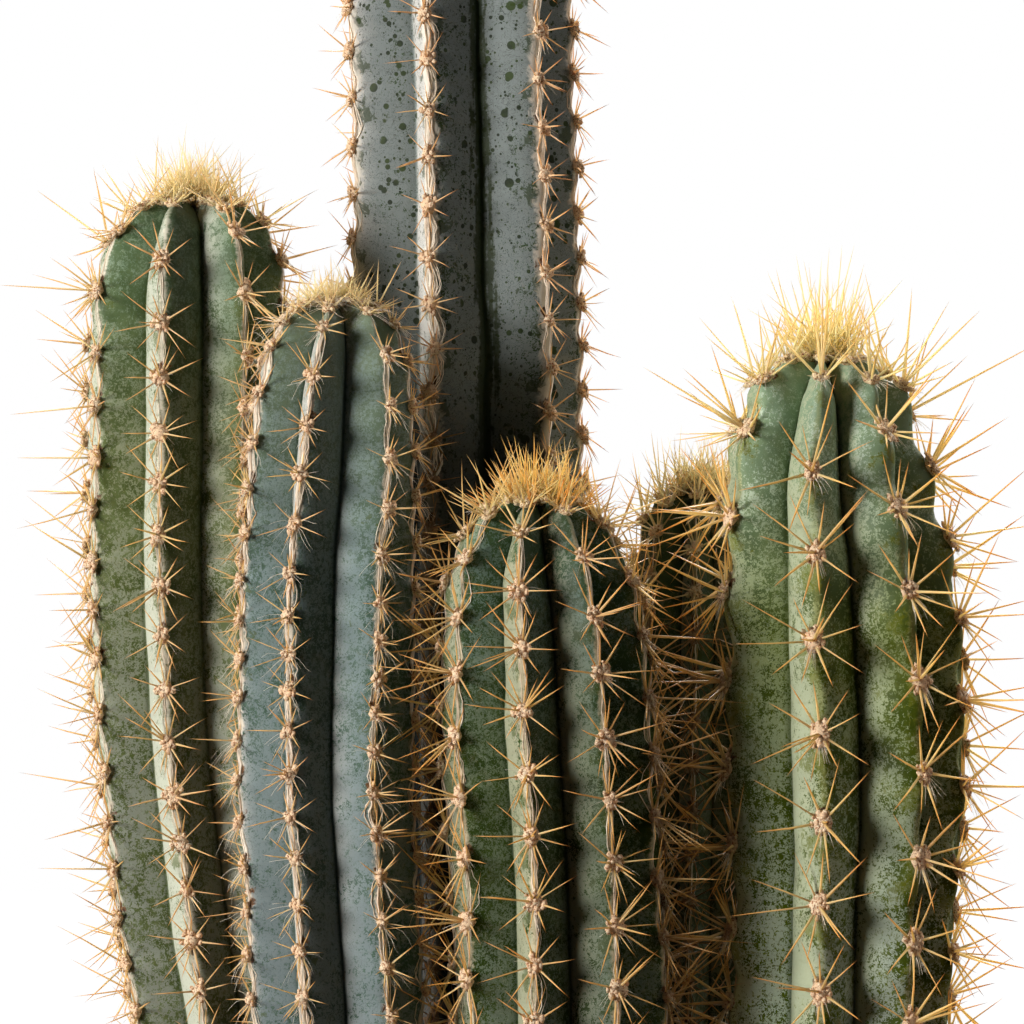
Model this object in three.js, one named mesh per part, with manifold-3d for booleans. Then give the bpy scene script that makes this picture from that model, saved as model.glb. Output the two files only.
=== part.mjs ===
// Potted group of tall columnar cacti: a tapered clay pot, the soil in it, and six ribbed stems.
// Millimetres, +Z up. The origin is the centre of the pot's underside, -Y is the front.
import * as THREE from 'three';
import { mergeVertices } from 'three/addons/utils/BufferGeometryUtils.js';
import Module from 'manifold-3d';

const wasm = await Module();
wasm.setup();

// ---- driving dimensions -------------------------------------------------
const POT_HEIGHT = 215;          // underside to the top of the rim
const POT_BASE_RADIUS = 92;      // flat underside
const POT_SHOULDER_RADIUS = 129; // body, just under the rim band
const POT_RIM_RADIUS = 140;      // outside of the rim, at the top
const POT_RIM_FOOT_RADIUS = 135; // outside of the rim band, at its lower edge
const POT_RIM_HEIGHT = 44;       // height of the rim band
const POT_FLOOR = 12;            // thickness of the bottom
const POT_INNER_BASE = 84;       // inner radius at the floor
const POT_INNER_TOP = 131;       // inner radius at the rim
const DRAIN_RADIUS = 6;          // three drain holes
const DRAIN_CIRCLE = 55;         // radius of the circle they lie on
const SOIL_TOP = 195;            // 20 mm below the rim
const GAP = 0.4;                 // clearance between touching pieces
const FOOT_DEPTH = 42;           // how deep a stem's foot stands in the soil
const FOOT_SHARE = 0.86;         // radius of the round foot over the crest radius
const FADE_LOW = SOIL_TOP + 1;   // the ribs run out into the round foot between
const FADE_HIGH = SOIL_TOP + 26; // these two heights
const APEX_DIP = 3;              // the growing point lies this far below the last ring

// Each stem: rows of [z, x, y, radius at the rib crests] from the crown down to the soil;
// ribs: azimuth of every crest in degrees, from the front (-Y) towards +X;
// groove: groove radius over crest radius; round: how blunt the crests are, and how much
// the flanks bulge.
const STEMS = {
  // at the far left, leaning outward as it rises
  stem_left: {
    color: 0x5d7f5c, groove: 0.62, round: [0.2, 0.035],
    ribs: [-108, -63.5, -13, 36.5, 80, 122, 166, 209],
    rows: [
      [574.5, -89.61, 8, 9.55], [573.4, -89.61, 8.02, 14.61], [571.7, -89.75, 8.06, 17.7],
      [568.9, -89.89, 8.12, 20.23], [564.4, -90.32, 8.22, 23.32], [558.2, -90.88, 8.35, 26.13],
      [550.4, -91.31, 8.52, 27.53], [539.1, -91.74, 8.77, 28.24], [519.5, -92.04, 9.2, 28.38],
      [491.4, -92.06, 9.8, 28.39], [463.3, -92.08, 10.41, 28.12], [435.1, -91.12, 11.02, 27.84],
      [415.4, -89.59, 11.45, 27.71], [392.9, -87.21, 11.94, 27.57], [370.4, -84.42, 12.43, 27.3],
      [343.9, -80.78, 13, 27.02], [281.9, -76.33, 13, 27.29], [220, -71.5, 13, 27.56],
      [195, -71.5, 13, 26.5],
    ],
  },
  // in front of the left one
  stem_left_front: {
    color: 0x5f8480, groove: 0.62, round: [0.2, 0.03],
    ribs: [-71, -22, 38, 89, 140, 190, 239],
    rows: [
      [545.9, -49, -28, 6.09], [544.8, -49, -28.05, 9.97], [543.1, -49.28, -28.12, 13.01],
      [540.6, -49.55, -28.24, 15.78], [536.7, -49.83, -28.41, 18.27], [532.3, -50.1, -28.61, 19.93],
      [524.5, -50.78, -28.96, 22], [513.5, -51.33, -29.46, 23.52], [496.9, -51.59, -30.21, 24.34],
      [463.7, -51.7, -31.71, 24.33], [436.1, -51.67, -32.96, 24.32], [408.5, -51.37, -34.2, 24.03],
      [380.9, -50.24, -35.45, 24.01], [346.8, -48.27, -37, 23.72], [283.4, -47.42, -38.5, 24.08],
      [220, -46.5, -40, 24.44], [195, -46.5, -40, 23.5],
    ],
  },
  // the tallest, at the back in the middle
  stem_tall: {
    color: 0x70848a, groove: 0.66, round: [0.2, 0.03],
    ribs: [-75, -18.5, 41.8, 86, 137, 188, 237],
    rows: [
      [855.3, -12.9, 36, 8.26], [854.1, -12.9, 36, 13.21], [852.1, -13.04, 36, 17.06],
      [848.7, -13.18, 36, 20.92], [843, -13.46, 36, 25.05], [835.7, -13.75, 36, 28.35],
      [825.1, -14.03, 36, 30.79], [809.5, -14.32, 36, 31.93], [775.4, -14.88, 36, 32.21],
      [718.6, -15.31, 36, 32.07], [661.8, -15.31, 36, 31.93], [633.4, -15.17, 36, 31.78],
      [605, -14.46, 36, 31.78], [562.4, -13.46, 36, 32.21], [519.8, -12.9, 36, 32.49],
      [488, -12.75, 36, 32.78], [434.6, -12.38, 36, 33.02], [389.2, -11.88, 36, 33.12],
      [342.6, -11.36, 36, 32.95], [281.3, -10.23, 36.5, 32.59], [220, -9, 37, 32.24],
      [195, -9, 37, 31],
    ],
  },
  // the short one in the middle of the front
  stem_middle: {
    color: 0x5b7a62, groove: 0.6, round: [0.2, 0.03],
    ribs: [-104, -56.5, -13.8, 29.5, 67, 106, 146, 186, 222],
    rows: [
      [490.49, 6.87, -47, 7.43], [489.4, 6.81, -47, 11.83], [487.7, 6.71, -47, 14.85],
      [485.21, 6.83, -47, 17.38], [481.91, 7.05, -47, 19.87], [477.52, 7.33, -47, 22.54],
      [471.53, 7.8, -47, 25.44], [463.85, 8.49, -47, 27.39], [450.08, 9.31, -47, 28.9],
      [433.61, 10.14, -47, 29.73], [408.86, 11.1, -47, 30], [381.42, 12.33, -47, 29.73],
      [347.29, 13.84, -47, 29.45], [283.83, 13.91, -45.5, 29], [220, 14, -45, 28.6],
      [195, 14, -45, 27.5],
    ],
  },
  // the short slender one at the back, between the middle and the right one
  stem_back: {
    color: 0x4b5c3d, groove: 0.68, round: [0.2, 0.04],
    ribs: [-88, -48, -8, 32, 72, 112, 152, 192, 232],
    rows: [
      [494, 54.18, 46, 5.7], [492.8, 54.18, 46, 9.41], [491.1, 54.18, 46, 12.26],
      [488, 54.18, 46, 14.83], [483.4, 54.18, 46, 16.82], [477.2, 54.32, 46, 18.39],
      [465.8, 54.46, 46, 19.68], [448.6, 54.46, 46, 20.25], [417.3, 54.18, 46, 20.53],
      [377.4, 53.61, 46, 20.53], [342, 53.04, 46, 20.25], [281, 52.54, 47, 20.01],
      [220, 52, 48, 19.76], [195, 52, 48, 19],
    ],
  },
  // the thickest, at the right
  stem_right: {
    color: 0x5f8a68, groove: 0.62, round: [0.26, 0.055],
    ribs: [-115, -73, -12.5, 35.5, 74, 113, 155, 200],
    rows: [
      [529.75, 86, -31, 7.74], [528.65, 86, -31, 12.45], [526.94, 86, -31, 16.04],
      [524.53, 86.13, -31, 19.36], [520.92, 86.27, -31, 21.85], [515.7, 86.27, -31, 23.78],
      [507.87, 86.27, -31, 26.83], [499.64, 86.56, -31, 29.04], [488.6, 87.52, -31, 30.69],
      [477.46, 89.6, -31, 31.94], [463.71, 91.39, -31, 32.91], [449.86, 92.5, -31, 33.73],
      [430.49, 93.05, -31, 34.15], [405.6, 93.05, -31, 33.46], [386.23, 92.5, -31, 32.36],
      [366.86, 91.8, -31, 31.8], [346.38, 91.25, -31, 31.38], [282.8, 85.93, -27.8, 31.32],
      [220, 80, -22.8, 31.2], [195, 80, -22.8, 30],
    ],
  },
};

const RAD = Math.PI / 180;

// Radius of the ribbed section over the crest radius, at a share u of the way
// from a crest (0) to the middle of the groove (1): nearly straight flanks, a blunt crest.
function ribShare(stem, u) {
  const [tip, bulge] = stem.round;
  const half = Math.PI / stem.ribs.length;
  const v = (Math.hypot(u, tip) - tip) / (Math.hypot(1, tip) - tip);
  const straight = stem.groove * Math.sin(half)
    / (stem.groove * Math.sin(half * (1 - v)) + Math.sin(half * v));
  return straight + 4 * bulge * v * (1 - v);
}

// The points round one ring: crest, flank, groove, flank for every rib.
function ringPoints(stem, ribbed) {
  const n = stem.ribs.length;
  const points = [];
  for (let i = 0; i < n; i++) {
    const a = stem.ribs[i];
    let b = stem.ribs[(i + 1) % n];
    while (b < a) b += 360;
    const half = (b - a) / 2;
    for (const [at, u] of [[a, 0], [a + 0.5 * half, 0.5], [a + half, 1], [b - 0.5 * half, 0.5]]) {
      const share = ribbed * ribShare(stem, u) + (1 - ribbed) * FOOT_SHARE;
      points.push([at * RAD, share]);
    }
  }
  return points;
}

// One closed body per stem: foot in the soil, ribbed column, domed crown.
function stemGeometry(stem) {
  const rows = stem.rows.slice().reverse();
  const [, x0, y0, r0] = rows[0];
  const stations = [
    [SOIL_TOP - FOOT_DEPTH, x0, y0, r0 * 0.8],
    [SOIL_TOP - FOOT_DEPTH + 5, x0, y0, r0],
    [SOIL_TOP + 1, x0, y0, r0],
    [SOIL_TOP + 9, x0, y0, r0 * 1.012],
    ...rows.slice(1),
  ];
  const position = [];
  const index = [];
  let count = 0;
  for (const [z, x, y, r] of stations) {
    const t = Math.min(1, Math.max(0, (z - FADE_LOW) / (FADE_HIGH - FADE_LOW)));
    const ring = ringPoints(stem, t * t * (3 - 2 * t));
    count = ring.length;
    for (const [a, share] of ring) {
      position.push(x + r * share * Math.sin(a), y - r * share * Math.cos(a), z);
    }
  }
  for (let k = 0; k + 1 < stations.length; k++) {
    for (let j = 0; j < count; j++) {
      const a = k * count + j;
      const b = k * count + ((j + 1) % count);
      index.push(a, b, b + count, a, b + count, a + count);
    }
  }
  const first = stations[0];
  const last = stations[stations.length - 1];
  const under = position.length / 3;
  position.push(first[1], first[2], first[0]);
  position.push(last[1], last[2], last[0] - APEX_DIP);
  const top = (stations.length - 1) * count;
  for (let j = 0; j < count; j++) {
    const k = (j + 1) % count;
    index.push(under, k, j);
    index.push(under + 1, top + j, top + k);
  }
  const geometry = new THREE.BufferGeometry();
  geometry.setAttribute('position', new THREE.Float32BufferAttribute(position, 3));
  geometry.setIndex(index);
  geometry.computeVertexNormals();
  return geometry;
}

// three.js geometry to a solid, and back.
function solid(geometry) {
  const g = geometry.clone();
  g.deleteAttribute('normal');
  g.deleteAttribute('uv');
  const merged = mergeVertices(g, 1e-4);
  return new wasm.Manifold(new wasm.Mesh({
    numProp: 3,
    vertProperties: new Float32Array(merged.attributes.position.array),
    triVerts: new Uint32Array(merged.index.array),
  }));
}

function geometryOf(body) {
  const mesh = body.getMesh();
  const g = new THREE.BufferGeometry();
  g.setAttribute('position', new THREE.Float32BufferAttribute(Array.from(mesh.vertProperties), 3));
  g.setIndex(Array.from(mesh.triVerts));
  g.computeVertexNormals();
  return g;
}

// A profile of [radius, z] turned about the Z axis.
function turned(profile, segments) {
  const g = new THREE.LatheGeometry(profile.map(([r, z]) => new THREE.Vector2(r, z)), segments);
  g.rotateX(Math.PI / 2);
  return g;
}

// An upright round hole: centre x, y, radius, and the two heights it runs between.
function drill(x, y, radius, low, high, segments) {
  const g = new THREE.CylinderGeometry(radius, radius, high - low, segments);
  g.rotateX(Math.PI / 2);
  g.translate(x, y, (low + high) / 2);
  return solid(g);
}

// ---- pot ------------------------------------------------------------------
const rimFoot = POT_HEIGHT - POT_RIM_HEIGHT;
let potBody = solid(turned([
  [0, 0],
  [POT_BASE_RADIUS, 0],
  [POT_BASE_RADIUS + 2.5, 3],
  [POT_SHOULDER_RADIUS, rimFoot - 3],
  [POT_RIM_FOOT_RADIUS - 1.5, rimFoot - 1],
  [POT_RIM_FOOT_RADIUS, rimFoot + 1.5],
  [POT_RIM_RADIUS, POT_HEIGHT - 3],
  [POT_RIM_RADIUS - 1, POT_HEIGHT - 0.8],
  [POT_RIM_RADIUS - 3, POT_HEIGHT],
  [POT_INNER_TOP + 2, POT_HEIGHT],
  [POT_INNER_TOP - 0.5, POT_HEIGHT - 2],
  [POT_INNER_BASE, POT_FLOOR + 2],
  [POT_INNER_BASE - 3, POT_FLOOR],
  [0, POT_FLOOR],
], 72));
for (const a of [30, 150, 270]) {
  potBody = potBody.subtract(drill(
    DRAIN_CIRCLE * Math.cos(a * RAD), DRAIN_CIRCLE * Math.sin(a * RAD),
    DRAIN_RADIUS, -2, POT_FLOOR + 2, 20));
}

// ---- soil, with a socket for the foot of every stem -------------------------
const innerAt = (z) => POT_INNER_BASE
  + (POT_INNER_TOP - 0.5 - POT_INNER_BASE) * (z - POT_FLOOR - 2) / (POT_HEIGHT - POT_FLOOR - 4);
let soilBody = solid(turned([
  [0, POT_FLOOR + GAP],
  [POT_INNER_BASE - 3.6, POT_FLOOR + GAP],
  [POT_INNER_BASE - GAP, POT_FLOOR + 3.2],
  [innerAt(SOIL_TOP - 1.5) - GAP, SOIL_TOP - 1.5],
  [innerAt(SOIL_TOP - 1.5) - 3, SOIL_TOP],
  [0, SOIL_TOP],
], 72));
for (const stem of Object.values(STEMS)) {
  const [, x, y, r] = stem.rows[stem.rows.length - 1];
  soilBody = soilBody.subtract(drill(
    x, y, r * FOOT_SHARE + GAP + 0.15, SOIL_TOP - FOOT_DEPTH - GAP, SOIL_TOP + 5, 40));
}

// ---- the model --------------------------------------------------------------
const model = new THREE.Group();

function add(name, geometry, material) {
  const mesh = new THREE.Mesh(geometry, material);
  mesh.name = name;
  model.add(mesh);
}

add('pot', geometryOf(potBody), new THREE.MeshStandardMaterial({ color: 0xb5714f, roughness: 0.85, metalness: 0 }));
add('soil', geometryOf(soilBody), new THREE.MeshStandardMaterial({ color: 0x3a2c22, roughness: 1, metalness: 0 }));
for (const [name, stem] of Object.entries(STEMS)) {
  add(name, stemGeometry(stem), new THREE.MeshStandardMaterial({ color: stem.color, roughness: 0.6, metalness: 0 }));
}

export default model;
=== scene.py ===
"""The looks of a potted group of tall columnar cacti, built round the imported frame.

Everything is worked out in millimetres in the frame's own axes (-Y is the front, +Z up)
and turned into metres when a mesh is made.
"""
import math

import bpy
import numpy as np
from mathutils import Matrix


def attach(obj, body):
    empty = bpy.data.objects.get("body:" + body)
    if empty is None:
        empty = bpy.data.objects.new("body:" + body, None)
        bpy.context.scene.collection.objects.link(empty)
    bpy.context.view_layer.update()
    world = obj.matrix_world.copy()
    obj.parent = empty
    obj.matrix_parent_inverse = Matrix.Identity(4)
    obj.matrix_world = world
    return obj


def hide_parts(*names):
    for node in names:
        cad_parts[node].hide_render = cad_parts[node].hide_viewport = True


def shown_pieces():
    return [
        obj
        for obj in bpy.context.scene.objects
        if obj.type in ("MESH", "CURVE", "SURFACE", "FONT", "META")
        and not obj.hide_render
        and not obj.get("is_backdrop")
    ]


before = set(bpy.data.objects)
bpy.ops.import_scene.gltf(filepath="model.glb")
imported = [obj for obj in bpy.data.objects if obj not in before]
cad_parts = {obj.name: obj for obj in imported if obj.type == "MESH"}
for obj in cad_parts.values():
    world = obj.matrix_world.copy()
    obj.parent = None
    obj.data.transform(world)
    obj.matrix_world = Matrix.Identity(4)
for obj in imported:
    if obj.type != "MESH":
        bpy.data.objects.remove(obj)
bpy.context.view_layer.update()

SCENE = bpy.context.scene

# ---- camera ------------------------------------------------------------------
VIEW_DISTANCE = 2500.0   # mm, from the pot's axis
VIEW_HEIGHT = 488.0      # mm, height of the picture's centre
PIXEL = 0.28             # mm a pixel covers at the pot's axis, in a picture 1024 wide

camera_data = bpy.data.cameras.new("camera")
camera_data.sensor_width = 36.0
camera_data.lens = 36.0 * VIEW_DISTANCE / (PIXEL * 1024.0)
camera_data.clip_start = 0.05
camera_data.clip_end = 50.0
camera = bpy.data.objects.new("camera", camera_data)
camera.location = (0.0, -VIEW_DISTANCE / 1000.0, VIEW_HEIGHT / 1000.0)
camera.rotation_euler = (math.radians(90.0), 0.0, 0.0)
SCENE.collection.objects.link(camera)
SCENE.camera = camera


# ---- small numeric helpers ----------------------------------------------------
def smooth01(x):
    x = np.clip(x, 0.0, 1.0)
    return x * x * (3.0 - 2.0 * x)


def unit(v):
    return v / np.maximum(np.linalg.norm(v, axis=-1, keepdims=True), 1e-12)


def pchip(x, y, xi):
    """Monotone cubic through the points (x, y), read at xi."""
    x, y, xi = np.asarray(x, float), np.asarray(y, float), np.asarray(xi, float)
    h = np.diff(x)
    d = np.diff(y) / h
    m = np.zeros_like(y)
    m[0], m[-1] = d[0], d[-1]
    for i in range(1, len(x) - 1):
        if d[i - 1] * d[i] > 0:
            w1, w2 = 2 * h[i] + h[i - 1], h[i] + 2 * h[i - 1]
            m[i] = (w1 + w2) / (w1 / d[i - 1] + w2 / d[i])
    k = np.clip(np.searchsorted(x, xi, side="right") - 1, 0, len(x) - 2)
    t = np.clip((xi - x[k]) / h[k], 0.0, 1.0)
    t2, t3 = t * t, t * t * t
    return ((2 * t3 - 3 * t2 + 1) * y[k] + (t3 - 2 * t2 + t) * h[k] * m[k]
            + (3 * t2 - 2 * t3) * y[k + 1] + (t3 - t2) * h[k] * m[k + 1])


def moving_average(v, n):
    if n < 2:
        return v
    pad = np.pad(v, (n // 2, n - 1 - n // 2), mode="edge")
    return np.convolve(pad, np.ones(n) / n, mode="valid")


# ---- mesh helpers ---------------------------------------------------------------
def make_object(name, verts, faces, attributes=None, material=None, smooth=True):
    """A mesh object from vertices in mm and a list of face arrays, each of one face size."""
    faces = [np.asarray(f, np.int32) for f in faces if len(f)]
    mesh = bpy.data.meshes.new(name)
    mesh.vertices.add(len(verts))
    mesh.vertices.foreach_set("co", (np.asarray(verts, float) * 0.001).astype(np.float32).ravel())
    loops = np.concatenate([f.ravel() for f in faces])
    sizes = np.concatenate([np.full(len(f), f.shape[1], np.int32) for f in faces])
    starts = np.concatenate([[0], np.cumsum(sizes)[:-1]]).astype(np.int32)
    mesh.loops.add(len(loops))
    mesh.loops.foreach_set("vertex_index", loops)
    mesh.polygons.add(len(sizes))
    mesh.polygons.foreach_set("loop_start", starts)
    mesh.polygons.foreach_set("use_smooth", np.full(len(sizes), bool(smooth)))
    mesh.update(calc_edges=True)
    mesh.validate()
    for key, values in (attributes or {}).items():
        layer = mesh.attributes.new(key, "FLOAT", "POINT")
        layer.data.foreach_set("value", np.asarray(values, np.float32).ravel())
    obj = bpy.data.objects.new(name, mesh)
    SCENE.collection.objects.link(obj)
    if material is not None:
        mesh.materials.append(material)
    return obj


def add_piece(obj, replaces=()):
    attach(obj, "root")
    if replaces:
        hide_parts(*replaces)
    return obj


def icosphere(level):
    t = (1 + 5 ** 0.5) / 2
    v = [(-1, t, 0), (1, t, 0), (-1, -t, 0), (1, -t, 0), (0, -1, t), (0, 1, t),
         (0, -1, -t), (0, 1, -t), (t, 0, -1), (t, 0, 1), (-t, 0, -1), (-t, 0, 1)]
    f = [(0, 11, 5), (0, 5, 1), (0, 1, 7), (0, 7, 10), (0, 10, 11), (1, 5, 9), (5, 11, 4),
         (11, 10, 2), (10, 7, 6), (7, 1, 8), (3, 9, 4), (3, 4, 2), (3, 2, 6), (3, 6, 8),
         (3, 8, 9), (4, 9, 5), (2, 4, 11), (6, 2, 10), (8, 6, 7), (9, 8, 1)]
    v = [np.array(p, float) / np.linalg.norm(p) for p in v]
    for _ in range(level):
        cache, out = {}, []

        def mid(a, b):
            key = (min(a, b), max(a, b))
            if key not in cache:
                p = v[a] + v[b]
                v.append(p / np.linalg.norm(p))
                cache[key] = len(v) - 1
            return cache[key]

        for a, b, c in f:
            ab, bc, ca = mid(a, b), mid(b, c), mid(c, a)
            out += [(a, ab, ca), (b, bc, ab), (c, ca, bc), (ab, bc, ca)]
        f = out
    return np.array(v), np.array(f, np.int32)


ICO = {0: icosphere(0), 1: icosphere(1), 2: icosphere(2)}


class Bag:
    """Collects closed little bodies, with their attributes, into one mesh."""

    def __init__(self, keys=()):
        self.verts, self.faces, self.count = [], {}, 0
        self.keys = keys
        self.attributes = {k: [] for k in keys}

    def add(self, verts, faces, **attributes):
        verts = np.asarray(verts, float).reshape(-1, 3)
        if not len(verts):
            return
        for f in faces:
            f = np.asarray(f)
            if len(f):
                self.faces.setdefault(f.shape[1], []).append(f + self.count)
        self.verts.append(verts)
        self.count += len(verts)
        for k in self.keys:
            value = attributes.get(k, 0.0)
            self.attributes[k].append(np.broadcast_to(np.asarray(value, float), (len(verts),)))

    def make(self, name, material, smooth=True):
        verts = np.concatenate(self.verts)
        faces = [np.concatenate(self.faces[k]) for k in sorted(self.faces)]
        attributes = {k: np.concatenate(self.attributes[k]) for k in self.keys}
        return make_object(name, verts, faces, attributes, material, smooth)


def frame_around(direction, twist):
    """Two unit vectors across each direction, turned by twist (radians)."""
    ref = np.where(np.abs(direction[:, 2:3]) < 0.9, np.array([[0.0, 0.0, 1.0]]), np.array([[1.0, 0.0, 0.0]]))
    a = unit(np.cross(direction, ref))
    b = np.cross(direction, a)
    c, s = np.cos(twist)[:, None], np.sin(twist)[:, None]
    return a * c + b * s, b * c - a * s


def needles(bag, base, direction, length, radius, bend, sides, segments, rng, blunt=0.55, **attributes):
    """Closed tapering needles. bend is how far, and which way, each tip is drawn aside (mm)."""
    n = len(base)
    if not n:
        return
    direction = unit(direction)
    across, up = frame_around(direction, rng.uniform(0, 2 * math.pi, n))
    ts = {1: [0.0], 2: [0.0, 0.62], 3: [0.0, 0.45, 0.82], 4: [0.0, 0.3, 0.62, 0.88]}[segments]
    ang = np.arange(sides) * 2 * math.pi / sides
    rings, tval = [], []
    for t in ts:
        centre = base + direction * (length * t)[:, None] + bend * (t * t)
        r = radius * max(1.0 - t, 0.02) ** blunt
        ring = (centre[:, None, :]
                + r[:, None, None] * (np.cos(ang)[None, :, None] * across[:, None, :]
                                      + np.sin(ang)[None, :, None] * up[:, None, :]))
        rings.append(ring)
        tval.append(np.full((n, sides), t))
    tip = (base + direction * length[:, None] + bend)[:, None, :]
    verts = np.concatenate(rings + [tip], axis=1)
    tv = np.concatenate(tval + [np.ones((n, 1))], axis=1)
    per = verts.shape[1]
    off = (np.arange(n) * per)[:, None]
    j = np.arange(sides)
    k = (j + 1) % sides
    quads = []
    for m in range(len(ts) - 1):
        q = np.stack([m * sides + j, m * sides + k, (m + 1) * sides + k, (m + 1) * sides + j], axis=1)
        quads.append((off[:, :, None] + q[None]).reshape(-1, 4))
    last = (len(ts) - 1) * sides
    tris = [(off[:, :, None] + np.stack([last + j, last + k, np.full(sides, per - 1)], axis=1)[None]).reshape(-1, 3)]
    cap = np.array([[0, i + 1, i] for i in range(1, sides - 1)])
    tris.append((off[:, :, None] + cap[None]).reshape(-1, 3))
    rnd = np.repeat(rng.uniform(0, 1, n), per)
    extra = {}
    for key, value in attributes.items():
        extra[key] = np.repeat(np.broadcast_to(np.asarray(value, float), (n,)), per)
    bag.add(verts.reshape(-1, 3), [np.concatenate(quads)] if quads else [], t=tv.ravel(), rnd=rnd, **extra)
    # the triangles belong to the same vertices
    start = bag.count - n * per
    bag.faces.setdefault(3, []).append(np.concatenate(tris) + start)


def tubes(bag, paths, radii, sides, rng, **attributes):
    """Closed tubes along many paths at once: paths (N, M, 3), radii (N, M)."""
    n, m = paths.shape[:2]
    if not n:
        return
    tangent = np.gradient(paths, axis=1)
    tangent = unit(tangent)
    ref = unit(rng.normal(size=(n, 1, 3)))
    side = unit(np.cross(tangent, ref))
    up = np.cross(tangent, side)
    ang = np.arange(sides) * 2 * math.pi / sides
    verts = (paths[:, :, None, :] + radii[:, :, None, None]
             * (np.cos(ang)[None, None, :, None] * side[:, :, None, :]
                + np.sin(ang)[None, None, :, None] * up[:, :, None, :]))
    per = m * sides
    off = (np.arange(n) * per)[:, None, None]
    j = np.arange(sides)
    k = (j + 1) % sides
    rows = np.arange(m - 1)[:, None] * sides
    q = np.stack([rows + j, rows + k, rows + sides + k, rows + sides + j], axis=2).reshape(-1, 4)
    quads = (off + q[None]).reshape(-1, 4)
    lo = np.array([[0, i + 1, i] for i in range(1, sides - 1)])
    hi = np.array([[0, i, i + 1] for i in range(1, sides - 1)]) + (m - 1) * sides
    caps = (off + np.concatenate([lo, hi])[None]).reshape(-1, 3)
    t = np.broadcast_to(np.linspace(0, 1, m)[None, :, None], (n, m, sides)).ravel()
    rnd = np.repeat(rng.uniform(0, 1, n), per)
    extra = {key: np.repeat(np.broadcast_to(np.asarray(value, float), (n,)), per) for key, value in attributes.items()}
    bag.add(verts.reshape(-1, 3), [quads], t=t, rnd=rnd, **extra)
    start = bag.count - n * per
    bag.faces.setdefault(3, []).append(caps + start)


def lumps(bag, centre, size, axes, level, rng, rough=0.18, **attributes):
    """Closed knobbly lumps: centre (N, 3), size (N, 3) along axes (N, 3, 3) given as rows."""
    n = len(centre)
    if not n:
        return
    v, f = ICO[level]
    wob = 1.0 + rough * rng.uniform(-1, 1, (n, len(v)))
    local = v[None] * wob[:, :, None] * size[:, None, :]
    verts = centre[:, None, :] + np.einsum("nvk,nkc->nvc", local, axes)
    faces = (f[None] + (np.arange(n) * len(v))[:, None, None]).reshape(-1, 3)
    rnd = np.repeat(rng.uniform(0, 1, n), len(v))
    extra = {key: np.repeat(np.broadcast_to(np.asarray(value, float), (n,)), len(v)) for key, value in attributes.items()}
    bag.add(verts.reshape(-1, 3), [faces], rnd=rnd, t=np.tile((v[:, 2] + 1) / 2, n), **extra)


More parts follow.
